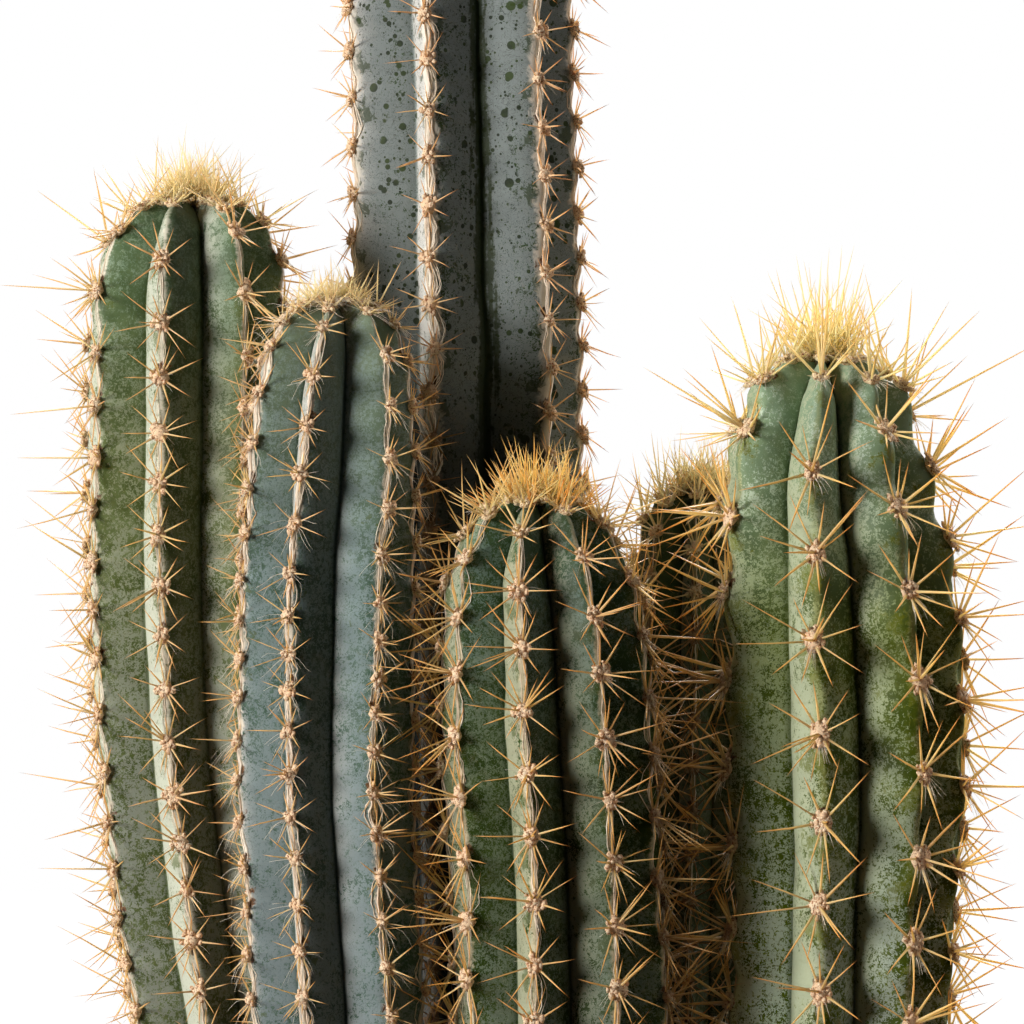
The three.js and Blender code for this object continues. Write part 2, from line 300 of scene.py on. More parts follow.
# ---- what is known of the six stems ------------------------------------------------
# rows: z, x, y of the axis and the radius at the rib crests, from the crown down to the soil;
# ribs: azimuth of each crest in degrees from the front (-Y) towards +X.
SOIL = 195.0
STEMS = {
    "stem_left": dict(
        groove=0.62, tip=0.2, bulge=0.035,
        ribs=[-108, -63.5, -13, 36.5, 80, 122, 166, 209],
        rows=[
            (574.5, -89.61, 8, 9.55), (573.4, -89.61, 8.02, 14.61), (571.7, -89.75, 8.06, 17.7), (568.9, -89.89, 8.12, 20.23),
            (564.4, -90.32, 8.22, 23.32), (558.2, -90.88, 8.35, 26.13), (550.4, -91.31, 8.52, 27.53), (539.1, -91.74, 8.77, 28.24),
            (519.5, -92.04, 9.2, 28.38), (491.4, -92.06, 9.8, 28.39), (463.3, -92.08, 10.41, 28.12), (435.1, -91.12, 11.02, 27.84),
            (415.4, -89.59, 11.45, 27.71), (392.9, -87.21, 11.94, 27.57), (370.4, -84.42, 12.43, 27.3), (343.9, -80.78, 13, 27.02),
            (281.9, -76.33, 13, 27.29), (220, -71.5, 13, 27.56), (195, -71.5, 13, 26.5),
        ],
    ),
    "stem_left_front": dict(
        groove=0.62, tip=0.2, bulge=0.03,
        ribs=[-71, -22, 38, 89, 140, 190, 239],
        rows=[
            (545.9, -49, -28, 6.09), (544.8, -49, -28.05, 9.97), (543.1, -49.28, -28.12, 13.01), (540.6, -49.55, -28.24, 15.78),
            (536.7, -49.83, -28.41, 18.27), (532.3, -50.1, -28.61, 19.93), (524.5, -50.78, -28.96, 22), (513.5, -51.33, -29.46, 23.52),
            (496.9, -51.59, -30.21, 24.34), (463.7, -51.7, -31.71, 24.33), (436.1, -51.67, -32.96, 24.32), (408.5, -51.37, -34.2, 24.03),
            (380.9, -50.24, -35.45, 24.01), (346.8, -48.27, -37, 23.72), (283.4, -47.42, -38.5, 24.08), (220, -46.5, -40, 24.44),
            (195, -46.5, -40, 23.5),
        ],
    ),
    "stem_tall": dict(
        groove=0.66, tip=0.2, bulge=0.03,
        ribs=[-75, -18.5, 41.8, 86, 137, 188, 237],
        rows=[
            (855.3, -12.9, 36, 8.26), (854.1, -12.9, 36, 13.21), (852.1, -13.04, 36, 17.06), (848.7, -13.18, 36, 20.92),
            (843, -13.46, 36, 25.05), (835.7, -13.75, 36, 28.35), (825.1, -14.03, 36, 30.79), (809.5, -14.32, 36, 31.93),
            (775.4, -14.88, 36, 32.21), (718.6, -15.31, 36, 32.07), (661.8, -15.31, 36, 31.93), (633.4, -15.17, 36, 31.78),
            (605, -14.46, 36, 31.78), (562.4, -13.46, 36, 32.21), (519.8, -12.9, 36, 32.49), (488, -12.75, 36, 32.78),
            (434.6, -12.38, 36, 33.02), (389.2, -11.88, 36, 33.12), (342.6, -11.36, 36, 32.95), (281.3, -10.23, 36.5, 32.59),
            (220, -9, 37, 32.24), (195, -9, 37, 31),
        ],
    ),
    "stem_middle": dict(
        groove=0.6, tip=0.2, bulge=0.03,
        ribs=[-104, -56.5, -13.8, 29.5, 67, 106, 146, 186, 222],
        rows=[
            (490.49, 6.87, -47, 7.43), (489.4, 6.81, -47, 11.83), (487.7, 6.71, -47, 14.85), (485.21, 6.83, -47, 17.38),
            (481.91, 7.05, -47, 19.87), (477.52, 7.33, -47, 22.54), (471.53, 7.8, -47, 25.44), (463.85, 8.49, -47, 27.39),
            (450.08, 9.31, -47, 28.9), (433.61, 10.14, -47, 29.73), (408.86, 11.1, -47, 30), (381.42, 12.33, -47, 29.73),
            (347.29, 13.84, -47, 29.45), (283.83, 13.91, -45.5, 29), (220, 14, -45, 28.6), (195, 14, -45, 27.5),
        ],
    ),
    "stem_back": dict(
        groove=0.68, tip=0.2, bulge=0.04,
        ribs=[-88, -48, -8, 32, 72, 112, 152, 192, 232],
        rows=[
            (494, 54.18, 46, 5.7), (492.8, 54.18, 46, 9.41), (491.1, 54.18, 46, 12.26), (488, 54.18, 46, 14.83),
            (483.4, 54.18, 46, 16.82), (477.2, 54.32, 46, 18.39), (465.8, 54.46, 46, 19.68), (448.6, 54.46, 46, 20.25),
            (417.3, 54.18, 46, 20.53), (377.4, 53.61, 46, 20.53), (342, 53.04, 46, 20.25), (281, 52.54, 47, 20.01),
            (220, 52, 48, 19.76), (195, 52, 48, 19),
        ],
    ),
    "stem_right": dict(
        groove=0.62, tip=0.26, bulge=0.055,
        ribs=[-115, -73, -12.5, 35.5, 74, 113, 155, 200],
        rows=[
            (529.75, 86, -31, 7.74), (528.65, 86, -31, 12.45), (526.94, 86, -31, 16.04), (524.53, 86.13, -31, 19.36),
            (520.92, 86.27, -31, 21.85), (515.7, 86.27, -31, 23.78), (507.87, 86.27, -31, 26.83), (499.64, 86.56, -31, 29.04),
            (488.6, 87.52, -31, 30.69), (477.46, 89.6, -31, 31.94), (463.71, 91.39, -31, 32.91), (449.86, 92.5, -31, 33.73),
            (430.49, 93.05, -31, 34.15), (405.6, 93.05, -31, 33.46), (386.23, 92.5, -31, 32.36), (366.86, 91.8, -31, 31.8),
            (346.38, 91.25, -31, 31.38), (282.8, 85.93, -27.8, 31.32), (220, 80, -22.8, 31.2), (195, 80, -22.8, 30),
        ],
    ),
}

# The ribs whose areoles were read off the reference view: rib number, whether its azimuth
# follows them, and their places (pixels of the 1024 x 1024 view, from the crown down).
TRACKS = {
    "stem_left": [
        (1, True, [(121, 231), (99, 291), (98, 353), (97, 406), (97, 458), (94, 509), (94, 562), (95, 610),
                   (98, 659), (101, 715), (106, 771), (110, 822), (116, 869), (120, 918), (127, 964), (138, 1011)]),
        (2, True, [(174, 206), (163, 260), (162, 323), (161, 378), (161, 433), (160, 483), (158, 535), (161, 586),
                   (163, 637), (166, 689), (168, 742), (173, 796), (181, 843), (187, 890), (192, 941), (200, 991)]),
        (3, True, [(234, 233), (244, 293), (245, 357), (245, 408), (244, 459), (243, 510), (242, 561), (243, 612),
                   (244, 663), (247, 714), (250, 765), (255, 816), (260, 867), (266, 918), (272, 969), (279, 1020)]),
    ],
    "stem_left_front": [
        (0, True, [(273, 347), (261, 392), (254, 442), (250, 489), (248, 533), (242, 580), (242, 621), (241, 659),
                   (240, 697), (238, 741), (240, 781), (240, 823), (246, 868), (248, 911), (250, 955), (253, 1000)]),
        (1, True, [(324, 329), (313, 376), (307, 427), (301, 474), (295, 524), (291, 573), (289, 616), (289, 654),
                   (290, 691), (289, 731), (290, 774), (290, 817), (296, 859), (299, 906), (301, 952), (303, 997)]),
        (2, True, [(367, 313), (384, 355), (389, 407), (389, 459), (386, 509), (380, 555), (380, 603), (379, 642),
                   (377, 679), (374, 714), (374, 753), (373, 794), (376, 833), (379, 877), (381, 922), (386, 968),
                   (390, 1016)]),
    ],
    "stem_tall": [
        (0, True, [(350, 7), (352, 51), (354, 98), (354, 146), (356, 194), (354, 239)]),
        (1, True, [(425, 13), (427, 59), (429, 109), (429, 156), (429, 206), (429, 257), (431, 304), (436, 349),
                   (429, 393), (435, 440), (431, 482)]),
        (2, True, [(539, 32), (537, 79), (541, 128), (544, 176), (545, 225), (544, 274), (548, 320), (551, 368),
                   (548, 412)]),
        (3, False, [(579, 28), (578, 73), (578, 120), (581, 166), (581, 213), (585, 258), (586, 303), (586, 344),
                    (585, 390), (585, 434)]),
    ],
    "stem_middle": [
        (1, True, [(487, 516), (468, 560), (459, 617), (459, 674), (456, 736), (462, 798), (467, 859), (469, 921),
                   (469, 981)]),
        (2, True, [(521, 534), (519, 591), (522, 648), (523, 711), (527, 775), (532, 836), (535, 902), (535, 965),
                   (534, 1023)]),
        (3, True, [(565, 512), (582, 559), (594, 617), (600, 674), (605, 739), (609, 800), (613, 863), (615, 927),
                   (617, 989)]),
        (4, True, [(605, 525), (628, 581), (641, 636), (647, 698), (652, 755), (652, 816), (655, 879), (661, 938),
                   (666, 997)]),
    ],
    "stem_right": [
        (1, True, [(749, 431), (734, 517), (728, 593), (724, 682), (729, 770), (734, 845), (734, 930), (731, 1002)]),
        (2, True, [(822, 380), (812, 472), (817, 553), (814, 641), (821, 734), (824, 822), (819, 905), (821, 992)]),
        (3, True, [(884, 431), (897, 508), (907, 592), (918, 680), (922, 772), (918, 858), (912, 943), (910, 1024)]),
        (4, True, [(899, 388), (931, 467), (947, 538), (956, 618), (961, 700), (961, 786), (955, 868), (950, 952)]),
    ],
    "stem_back": [],
}

# How each stem's areoles, spines and wool look.
#   spacing: mm between areoles; amp: how far a rib swells at each one (young, old);
#   split: where the groove lies between a rib and the next one (0.5 = midway);
#   spines: radial and central counts, their lengths and thickness; wool: cords along the crests.
LOOKS = {
    "stem_left": dict(seed=11, spacing=14.3, amp=(1.2, 0.9), split={1: 0.485, 2: 0.59},
                      radial=(8, 10), central=(1, 2), length=(9.5, 14.5), long=(13.0, 25.0), thick=0.34,
                      felt=(2.70, 3.0), cords=(3, 0.20, 0.45), hairs=(5, 5.5, 0.065), tint=0.60),
    "stem_left_front": dict(seed=12, spacing=12.2, amp=(1.0, 0.8), split={0: 0.614, 1: 0.528},
                            radial=(7, 9), central=(1, 2), length=(6.5, 11.5), long=(9.0, 15.0), thick=0.28,
                            felt=(2.20, 2.4), cords=(9, 0.34, 0.45), hairs=(10, 8.0, 0.06), tint=0.62),
    "stem_tall": dict(seed=13, spacing=13.4, amp=(1.3, 1.1), split={0: 0.647, 1: 0.496},
                      radial=(7, 9), central=(1, 1), length=(7.5, 11.5), long=(9.0, 14.0), thick=0.31,
                      felt=(2.45, 2.7), cords=(8, 0.38, 0.8), hairs=(4, 5.0, 0.065), tint=0.30),
    "stem_middle": dict(seed=14, spacing=16.9, amp=(1.4, 1.0), split={1: 0.37, 2: 0.49},
                        radial=(9, 11), central=(1, 3), length=(9.5, 15.0), long=(13.5, 21.0), thick=0.35, sideways=0.5,
                        felt=(3.05, 3.2), cords=(5, 0.28, 0.9), hairs=(6, 6.5, 0.065), tint=0.72),
    "stem_right": dict(seed=15, spacing=24.0, amp=(3.4, 2.3), split={1: 0.46, 2: 0.43},
                       radial=(8, 10), central=(1, 3), length=(14.0, 23.0), long=(20.0, 31.0), thick=0.46,
                       felt=(3.00, 3.7), cords=(0, 0.0, 0.0), hairs=(12, 6.5, 0.075), tint=1.0),
    "stem_back": dict(seed=16, spacing=12.5, amp=(1.0, 0.8), split={},
                      radial=(9, 11), central=(2, 3), length=(10.0, 16.0), long=(13.0, 20.0), thick=0.33, sideways=0.3,
                      felt=(2.20, 2.4), cords=(2, 0.30, 0.5), hairs=(2, 5.0, 0.065), tint=0.80),
}

SEEN_LOW, SEEN_HIGH = 338.0, 640.0   # the height that the main view takes in


class Stem:
    """One ribbed stem: tables along its profile, and the skin's place at any point."""

    def __init__(self, name):
        spec, look = STEMS[name], LOOKS[name]
        self.name, self.look = name, look
        self.rng = np.random.default_rng(look["seed"])
        self.groove, self.tip, self.bulge = spec["groove"], spec["tip"], spec["bulge"]
        self.n = len(spec["ribs"])
        rows = spec["rows"][::-1]
        z0, x0, y0, r0 = rows[0]
        zt, xt, yt, rt = rows[-1]
        pts = ([(z0 - 13.0, x0, y0, r0 * 0.985)] + list(rows)
               + [(zt + 0.35, xt, yt, rt * 0.62), (zt + 0.1, xt, yt, rt * 0.3), (zt - 0.4, xt, yt, 0.0)])
        z, x, y, r = (np.array(c, float) for c in zip(*pts))
        s = np.concatenate([[0.0], np.cumsum(np.hypot(np.diff(z), np.diff(r)))])
        self.end = s[-1]
        self.S = np.append(np.arange(0.0, self.end, 1.0), self.end)
        self.z, self.x, self.y, self.r = (np.maximum(pchip(s, c, self.S), -1e9) for c in (z, x, y, r))
        self.r = np.maximum(self.r, 0.0)
        self.rmax = self.r.max()
        dr = moving_average(np.gradient(self.r, self.S), 5)
        dz = moving_average(np.gradient(self.z, self.S), 5)
        nr, nz = np.maximum(dz, 0.0), -dr
        size = np.maximum(np.hypot(nr, nz), 1e-9)
        self.nr, self.nz = nr / size, nz / size
        top = int(np.argmax(self.z))
        self.top_s = self.S[top]
        self.z_up, self.s_up = self.z[:top + 1], self.S[:top + 1]
        here_max = np.maximum.accumulate(self.r[::-1])[::-1]      # widest from here up
        self.reff = np.where(self.S > self.s_of_z(zt - 45.0), np.sqrt(self.r * here_max.clip(1e-3) ** 0.55
                             * self.rmax ** 0.45), self.r)
        self.reff = moving_average(self.reff, 7)
        self.fade = smooth01((self.z - 196.0) / 25.0)
        self.flank = self.rmax * math.sqrt(1 + self.groove ** 2 - 2 * self.groove * math.cos(math.pi / self.n))

        # azimuth of every rib along the stem
        base = np.array(spec["ribs"], float)
        drift = np.stack([1.3 * np.sin(self.z / self.rng.uniform(45, 80) + self.rng.uniform(0, 6.28))
                          for _ in range(self.n)])
        self.theta = base[:, None] + drift * smooth01((self.z_up[-1] - self.z) / 60.0)[None]
        self.areoles = [None] * self.n
        for rib, follow, points in TRACKS[name]:
            zs, th, keep = self.trace(base[rib], points)
            if follow:
                order = np.argsort(zs[keep])
                t = np.interp(self.z, zs[keep][order], th[keep][order])
                t[self.S > self.s_of_z(zs[keep].max())] = th[keep][np.argmax(zs[keep])]
                low = zs[keep].min()
                ease = smooth01((low - self.z) / 90.0)
                self.theta[rib] = moving_average(t * (1 - ease) + base[rib] * ease, 9)
            else:
                self.theta[rib] = base[rib]
            self.areoles[rib] = self.extend(np.sort(self.s_of_z(zs)))
        for rib in range(self.n):
            if self.areoles[rib] is None:
                self.areoles[rib] = self.extend(None)

        # swelling below each areole, and the distance from the nearest one
        young, old = look["amp"]
        age = np.clip((self.end - self.S) / 110.0, 0.0, 1.0)
        amp = (young * (1 - age) + old * age) * smooth01((self.end - self.S) / 16.0) * self.fade
        self.bump, self.near, self.scab, self.above = [], [], [], []
        for rib in range(self.n):
            a = self.areoles[rib]
            k = np.clip(np.searchsorted(a, self.S, side="right") - 1, 0, len(a) - 2)
            gap = a[k + 1] - a[k]
            f = np.clip((self.S - a[k]) / gap, 0.0, 1.0)
            wave = 0.5 + 0.5 * np.cos(2 * np.pi * (f - 0.83))
            per = self.rng.uniform(0.75, 1.25, len(a))
            size = per[k] * (1 - f) + per[k + 1] * f
            shrink = np.clip(gap / (0.8 * look["spacing"]), 0.25, 1.0)
            self.bump.append(amp * size * shrink * (wave ** 0.75 - 0.55))
            self.above.append(f)
            d = self.S[:, None] - a[None]
            j = np.argmin(np.abs(d), axis=1)
            self.near.append(d[np.arange(len(d)), j])
            share = 0.75 if name == "stem_right" else 0.45
            brown = np.where(self.rng.uniform(0, 1, len(a)) < share, self.rng.uniform(0.5, 1.1, len(a)), 0.15)
            self.scab.append(brown[j])
        self.bump, self.near, self.scab, self.above = map(np.array, (self.bump, self.near, self.scab, self.above))
        m = 14
        self.noise = [(self.rng.uniform(0.05, 0.34), self.rng.integers(0, 7), self.rng.uniform(0, 6.28),
                       self.rng.uniform(0.03, 0.13)) for _ in range(m)]

    def s_of_z(self, z):
        return np.interp(z, self.z_up, self.s_up)

    def trace(self, base, points):
        """Heights and azimuths of points on a rib's crest, from where the view shows them."""
        zs, th, keep = [], [], []
        for px, py in points:
            y = -20.0
            for _ in range(12):
                scale = PIXEL * (VIEW_DISTANCE + y) / VIEW_DISTANCE
                z = VIEW_HEIGHT - (py - 512.0) * scale
                s = self.s_of_z(min(z, self.z_up[-1] - 0.5))
                xc, yc, r = (np.interp(s, self.S, v) for v in (self.x, self.y, self.r))
                sine = ((px - 512.0) * scale - xc) / max(r, 1.0)
                a = math.degrees(math.asin(max(-0.975, min(0.975, sine))))
                y = yc - r * math.cos(math.radians(a))
            zs.append(min(z, self.z_up[-1] - 1.5))
            th.append(a)
            keep.append(r > 0.58 * self.rmax or (abs(base) < 45 and r > 0.4 * self.rmax))
        return np.array(zs), np.array(th), np.array(keep)

    def extend(self, known):
        """Areole places along the profile: down to the soil, and crowding towards the growing point."""
        gap, rng = self.look["spacing"], self.rng
        low = self.s_of_z(SOIL + 9.0)
        if known is None:
            g = 1.6 + rng.uniform(0, 1.2)
            s, known = self.end - 1.2 - rng.uniform(0, 1.5), []
            while g < gap and s > low:
                known.append(s)
                s -= g
                g *= 1.55
            known.append(s)
            known = sorted(known)
        else:
            known = sorted(known)
            g, s = gap * 0.62, known[-1]
            while s + gap < self.end - 1.9 * gap:
                s += gap
                known.append(s)
            while s + g < self.end - 1.0:
                s += g
                g = max(g * 0.68, 1.6)
                known.append(s)
        s = known[0]
        down = []
        while True:
            s -= gap * rng.uniform(0.93, 1.07)
            if s < low:
                break
            down.append(s)
        return np.array(sorted(down + list(known)))

    def _tab(self, table, s):
        return np.interp(s, self.S, table)

    def _rib(self, table, s, rib):
        k = np.clip(s.astype(int), 0, len(self.S) - 2)
        f = np.clip((s - self.S[k]) / (self.S[k + 1] - self.S[k]), 0.0, 1.0)
        return table[rib, k] * (1 - f) + table[rib, k + 1] * f

    def az(self, s, rib, w):
        nxt, prv = (rib + 1) % self.n, (rib - 1) % self.n
        a = self._rib(self.theta, s, rib)
        b = self._rib(self.theta, s, nxt) + np.where(nxt == 0, 360.0, 0.0)
        c = self._rib(self.theta, s, prv) - np.where(rib == 0, 360.0, 0.0)
        split = np.full(self.n, 0.5)
        for i, v in self.look["split"].items():
            split[i] = v
        right, left = (b - a) * split[rib], (a - c) * (1.0 - split[prv])
        return a + w * np.where(w >= 0, right, left)

    def at(self, s, rib, w, lift=0.0):
        """Points on the skin: place along the profile, rib number, and -1..1 from groove to groove."""
        s, rib, w, lift = np.broadcast_arrays(np.asarray(s, float), np.asarray(rib), np.asarray(w, float),
                                              np.asarray(lift, float))
        shape = s.shape
        s, rib, w, lift = s.ravel(), rib.ravel().astype(int), w.ravel(), lift.ravel()
        az = np.radians(self.az(s, rib, w))
        u = np.clip(np.abs(w), 0.0, 1.0)
        deep = 0.16 if self.name == "stem_right" else 0.06
        groove = self.groove - deep * np.exp(-((self.end - s - 14.0) / 16.0) ** 2)
        v = (np.hypot(u, self.tip) - self.tip) / (math.hypot(1.0, self.tip) - self.tip)
        half = math.pi / self.n
        share = groove * math.sin(half) / (groove * np.sin(half * (1 - v)) + np.sin(half * v))
        full = 0.075 if self.name == "stem_right" else 0.035
        full = self.bulge + full * np.exp(-(np.maximum(self.end - s - 20.0, 0.0) / 45.0) ** 2)
        share = share + 4.0 * full * v * (1 - v)
        fade = self._tab(self.fade, s)
        share = fade * share + (1 - fade) * 0.86
        z = self._tab(self.z, s)
        off = -(1 - share) * self._tab(self.reff, s)
        off += self._rib(self.bump, s, rib) * np.cos(np.pi * u / 2) ** 1.5
        quiet = smooth01((self.end - s) / 12.0)
        wob = np.zeros_like(s)
        for k, m, ph, amp in self.noise:
            wob += amp * np.sin(k * z + m * az + ph)
        off += wob * quiet * 0.6 + lift
        r = np.maximum(self._tab(self.r, s) + off * self._tab(self.nr, s), 0.0)
        z = z + off * self._tab(self.nz, s)
        out = np.stack([self._tab(self.x, s) + r * np.sin(az), self._tab(self.y, s) - r * np.cos(az), z], axis=1)
        return out.reshape(shape + (3,))

    def frames(self, s, rib, w=0.0):
        """Place, up-the-rib, across-the-rib and outward directions at points on the skin."""
        s, rib, w = (np.asarray(v) for v in np.broadcast_arrays(np.asarray(s, float), rib, np.asarray(w, float)))
        p = self.at(s, rib, w)
        d = np.minimum(1.2, np.maximum(0.2, (self.end - s) * 0.5))
        t = unit(self.at(s + d, rib, w) - self.at(s - d, rib, w))
        b = unit(self.at(s, rib, w + 0.12) - self.at(s, rib, w - 0.12))
        n = unit(np.cross(b, t))
        b = np.cross(t, n)
        return p, t, b, n

    def in_view(self, p, n):
        return (p[:, 2] > SEEN_LOW) & (p[:, 2] < SEEN_HIGH) & (n[:, 1] < 0.45)


STEM = {name: Stem(name) for name in STEMS}


# ---- materials ---------------------------------------------------------------------
# share of the light that passes through a spine, a clump of felt, a thread of wool
SPINE_GLOW, FELT_GLOW, WOOL_GLOW = 0.52, 0.28, 0.40


class Shader:
    """A node material with one Principled shader, and short words for the nodes used here."""

    def __init__(self, name, roughness=0.6, specular=0.4):
        self.mat = bpy.data.materials.new(name)
        self.mat.use_nodes = True
        self.tree = self.mat.node_tree
        self.tree.nodes.clear()
        self.out = self.tree.nodes.new("ShaderNodeOutputMaterial")
        self.bsdf = self.tree.nodes.new("ShaderNodeBsdfPrincipled")
        self.tree.links.new(self.bsdf.outputs[0], self.out.inputs[0])
        self.bsdf.inputs["Roughness"].default_value = roughness
        self.bsdf.inputs["Specular IOR Level"].default_value = specular
        self.coords = self.tree.nodes.new("ShaderNodeTexCoord").outputs["Object"]

    def new(self, kind, **props):
        node = self.tree.nodes.new(kind)
        for key, value in props.items():
            setattr(node, key, value)
        return node

    def put(self, source, socket):
        if isinstance(source, (int, float)):
            socket.default_value = source
        elif isinstance(source, (tuple, list)):
            socket.default_value = tuple(source) + ((1.0,) if len(source) == 3 and socket.type == "RGBA" else ())
        else:
            self.tree.links.new(source, socket)

    def attribute(self, name):
        return self.new("ShaderNodeAttribute", attribute_type="GEOMETRY", attribute_name=name).outputs["Fac"]

    def stretched(self, x, y, z):
        node = self.new("ShaderNodeMapping")
        self.put(self.coords, node.inputs["Vector"])
        node.inputs["Scale"].default_value = (x, y, z)
        return node.outputs[0]

    def noise(self, scale, detail=2.0, rough=0.5, vector=None, distortion=0.0):
        node = self.new("ShaderNodeTexNoise")
        self.put(vector if vector is not None else self.coords, node.inputs["Vector"])
        for key, value in (("Scale", scale), ("Detail", detail), ("Roughness", rough), ("Distortion", distortion)):
            node.inputs[key].default_value = value
        return node.outputs[0]

    def cells(self, scale, vector=None, randomness=1.0):
        node = self.new("ShaderNodeTexVoronoi")
        self.put(vector if vector is not None else self.coords, node.inputs["Vector"])
        node.inputs["Scale"].default_value = scale
        node.inputs["Randomness"].default_value = randomness
        return node.outputs["Distance"], node.outputs["Color"]

    def math(self, op, a, b=0.0, c=0.0, clamp=False):
        node = self.new("ShaderNodeMath", operation=op, use_clamp=clamp)
        for i, v in enumerate((a, b, c)):
            if i < len(node.inputs):
                self.put(v, node.inputs[i])
        return node.outputs[0]

    def add(self, *terms):
        total = terms[0]
        for t in terms[1:]:
            total = self.math("ADD", total, t)
        return total

    def mul(self, a, b):
        return self.math("MULTIPLY", a, b)

    def inv(self, a):
        return self.math("SUBTRACT", 1.0, a, clamp=True)

    def step(self, value, low, high, a=0.0, b=1.0):
        node = self.new("ShaderNodeMapRange", interpolation_type="SMOOTHSTEP")
        self.put(value, node.inputs["Value"])
        for key, v in (("From Min", low), ("From Max", high), ("To Min", a), ("To Max", b)):
            self.put(v, node.inputs[key])
        return node.outputs[0]

    def mix(self, fac, a, b, blend="MIX"):
        node = self.new("ShaderNodeMix", data_type="RGBA", blend_type=blend, clamp_factor=True)
        self.put(fac, node.inputs[0])
        self.put(a, node.inputs[6])
        self.put(b, node.inputs[7])
        return node.outputs[2]

    def ramp(self, fac, stops):
        node = self.new("ShaderNodeValToRGB")
        self.put(fac, node.inputs[0])
        el = node.color_ramp.elements
        while len(el) < len(stops):
            el.new(0.5)
        for e, (pos, colour) in zip(el, stops):
            e.position = pos
            e.color = tuple(colour) + (1.0,)
        return node.outputs[0]

    def red(self, colour):
        node = self.new("ShaderNodeSeparateColor")
        self.put(colour, node.inputs[0])
        return node.outputs[0], node.outputs[1]

    def bump(self, height, strength, distance):
        node = self.new("ShaderNodeBump")
        self.put(height, node.inputs["Height"])
        node.inputs["Strength"].default_value = strength
        node.inputs["Distance"].default_value = distance
        self.tree.links.new(node.outputs[0], self.bsdf.inputs["Normal"])

    def colour(self, source):
        self.paint = source
        self.put(source, self.bsdf.inputs["Base Color"])

    def glow(self, share):
        """Lets a share of the light through, tinted with the surface's own colour."""
        through = self.new("ShaderNodeBsdfTranslucent")
        self.put(self.paint, through.inputs["Color"])
        both = self.new("ShaderNodeMixShader")
        both.inputs[0].default_value = share
        self.tree.links.new(self.bsdf.outputs[0], both.inputs[1])
        self.tree.links.new(through.outputs[0], both.inputs[2])
        self.tree.links.new(both.outputs[0], self.out.inputs["Surface"])
        return self

    def rough(self, source):
        self.put(source, self.bsdf.inputs["Roughness"])
        return self


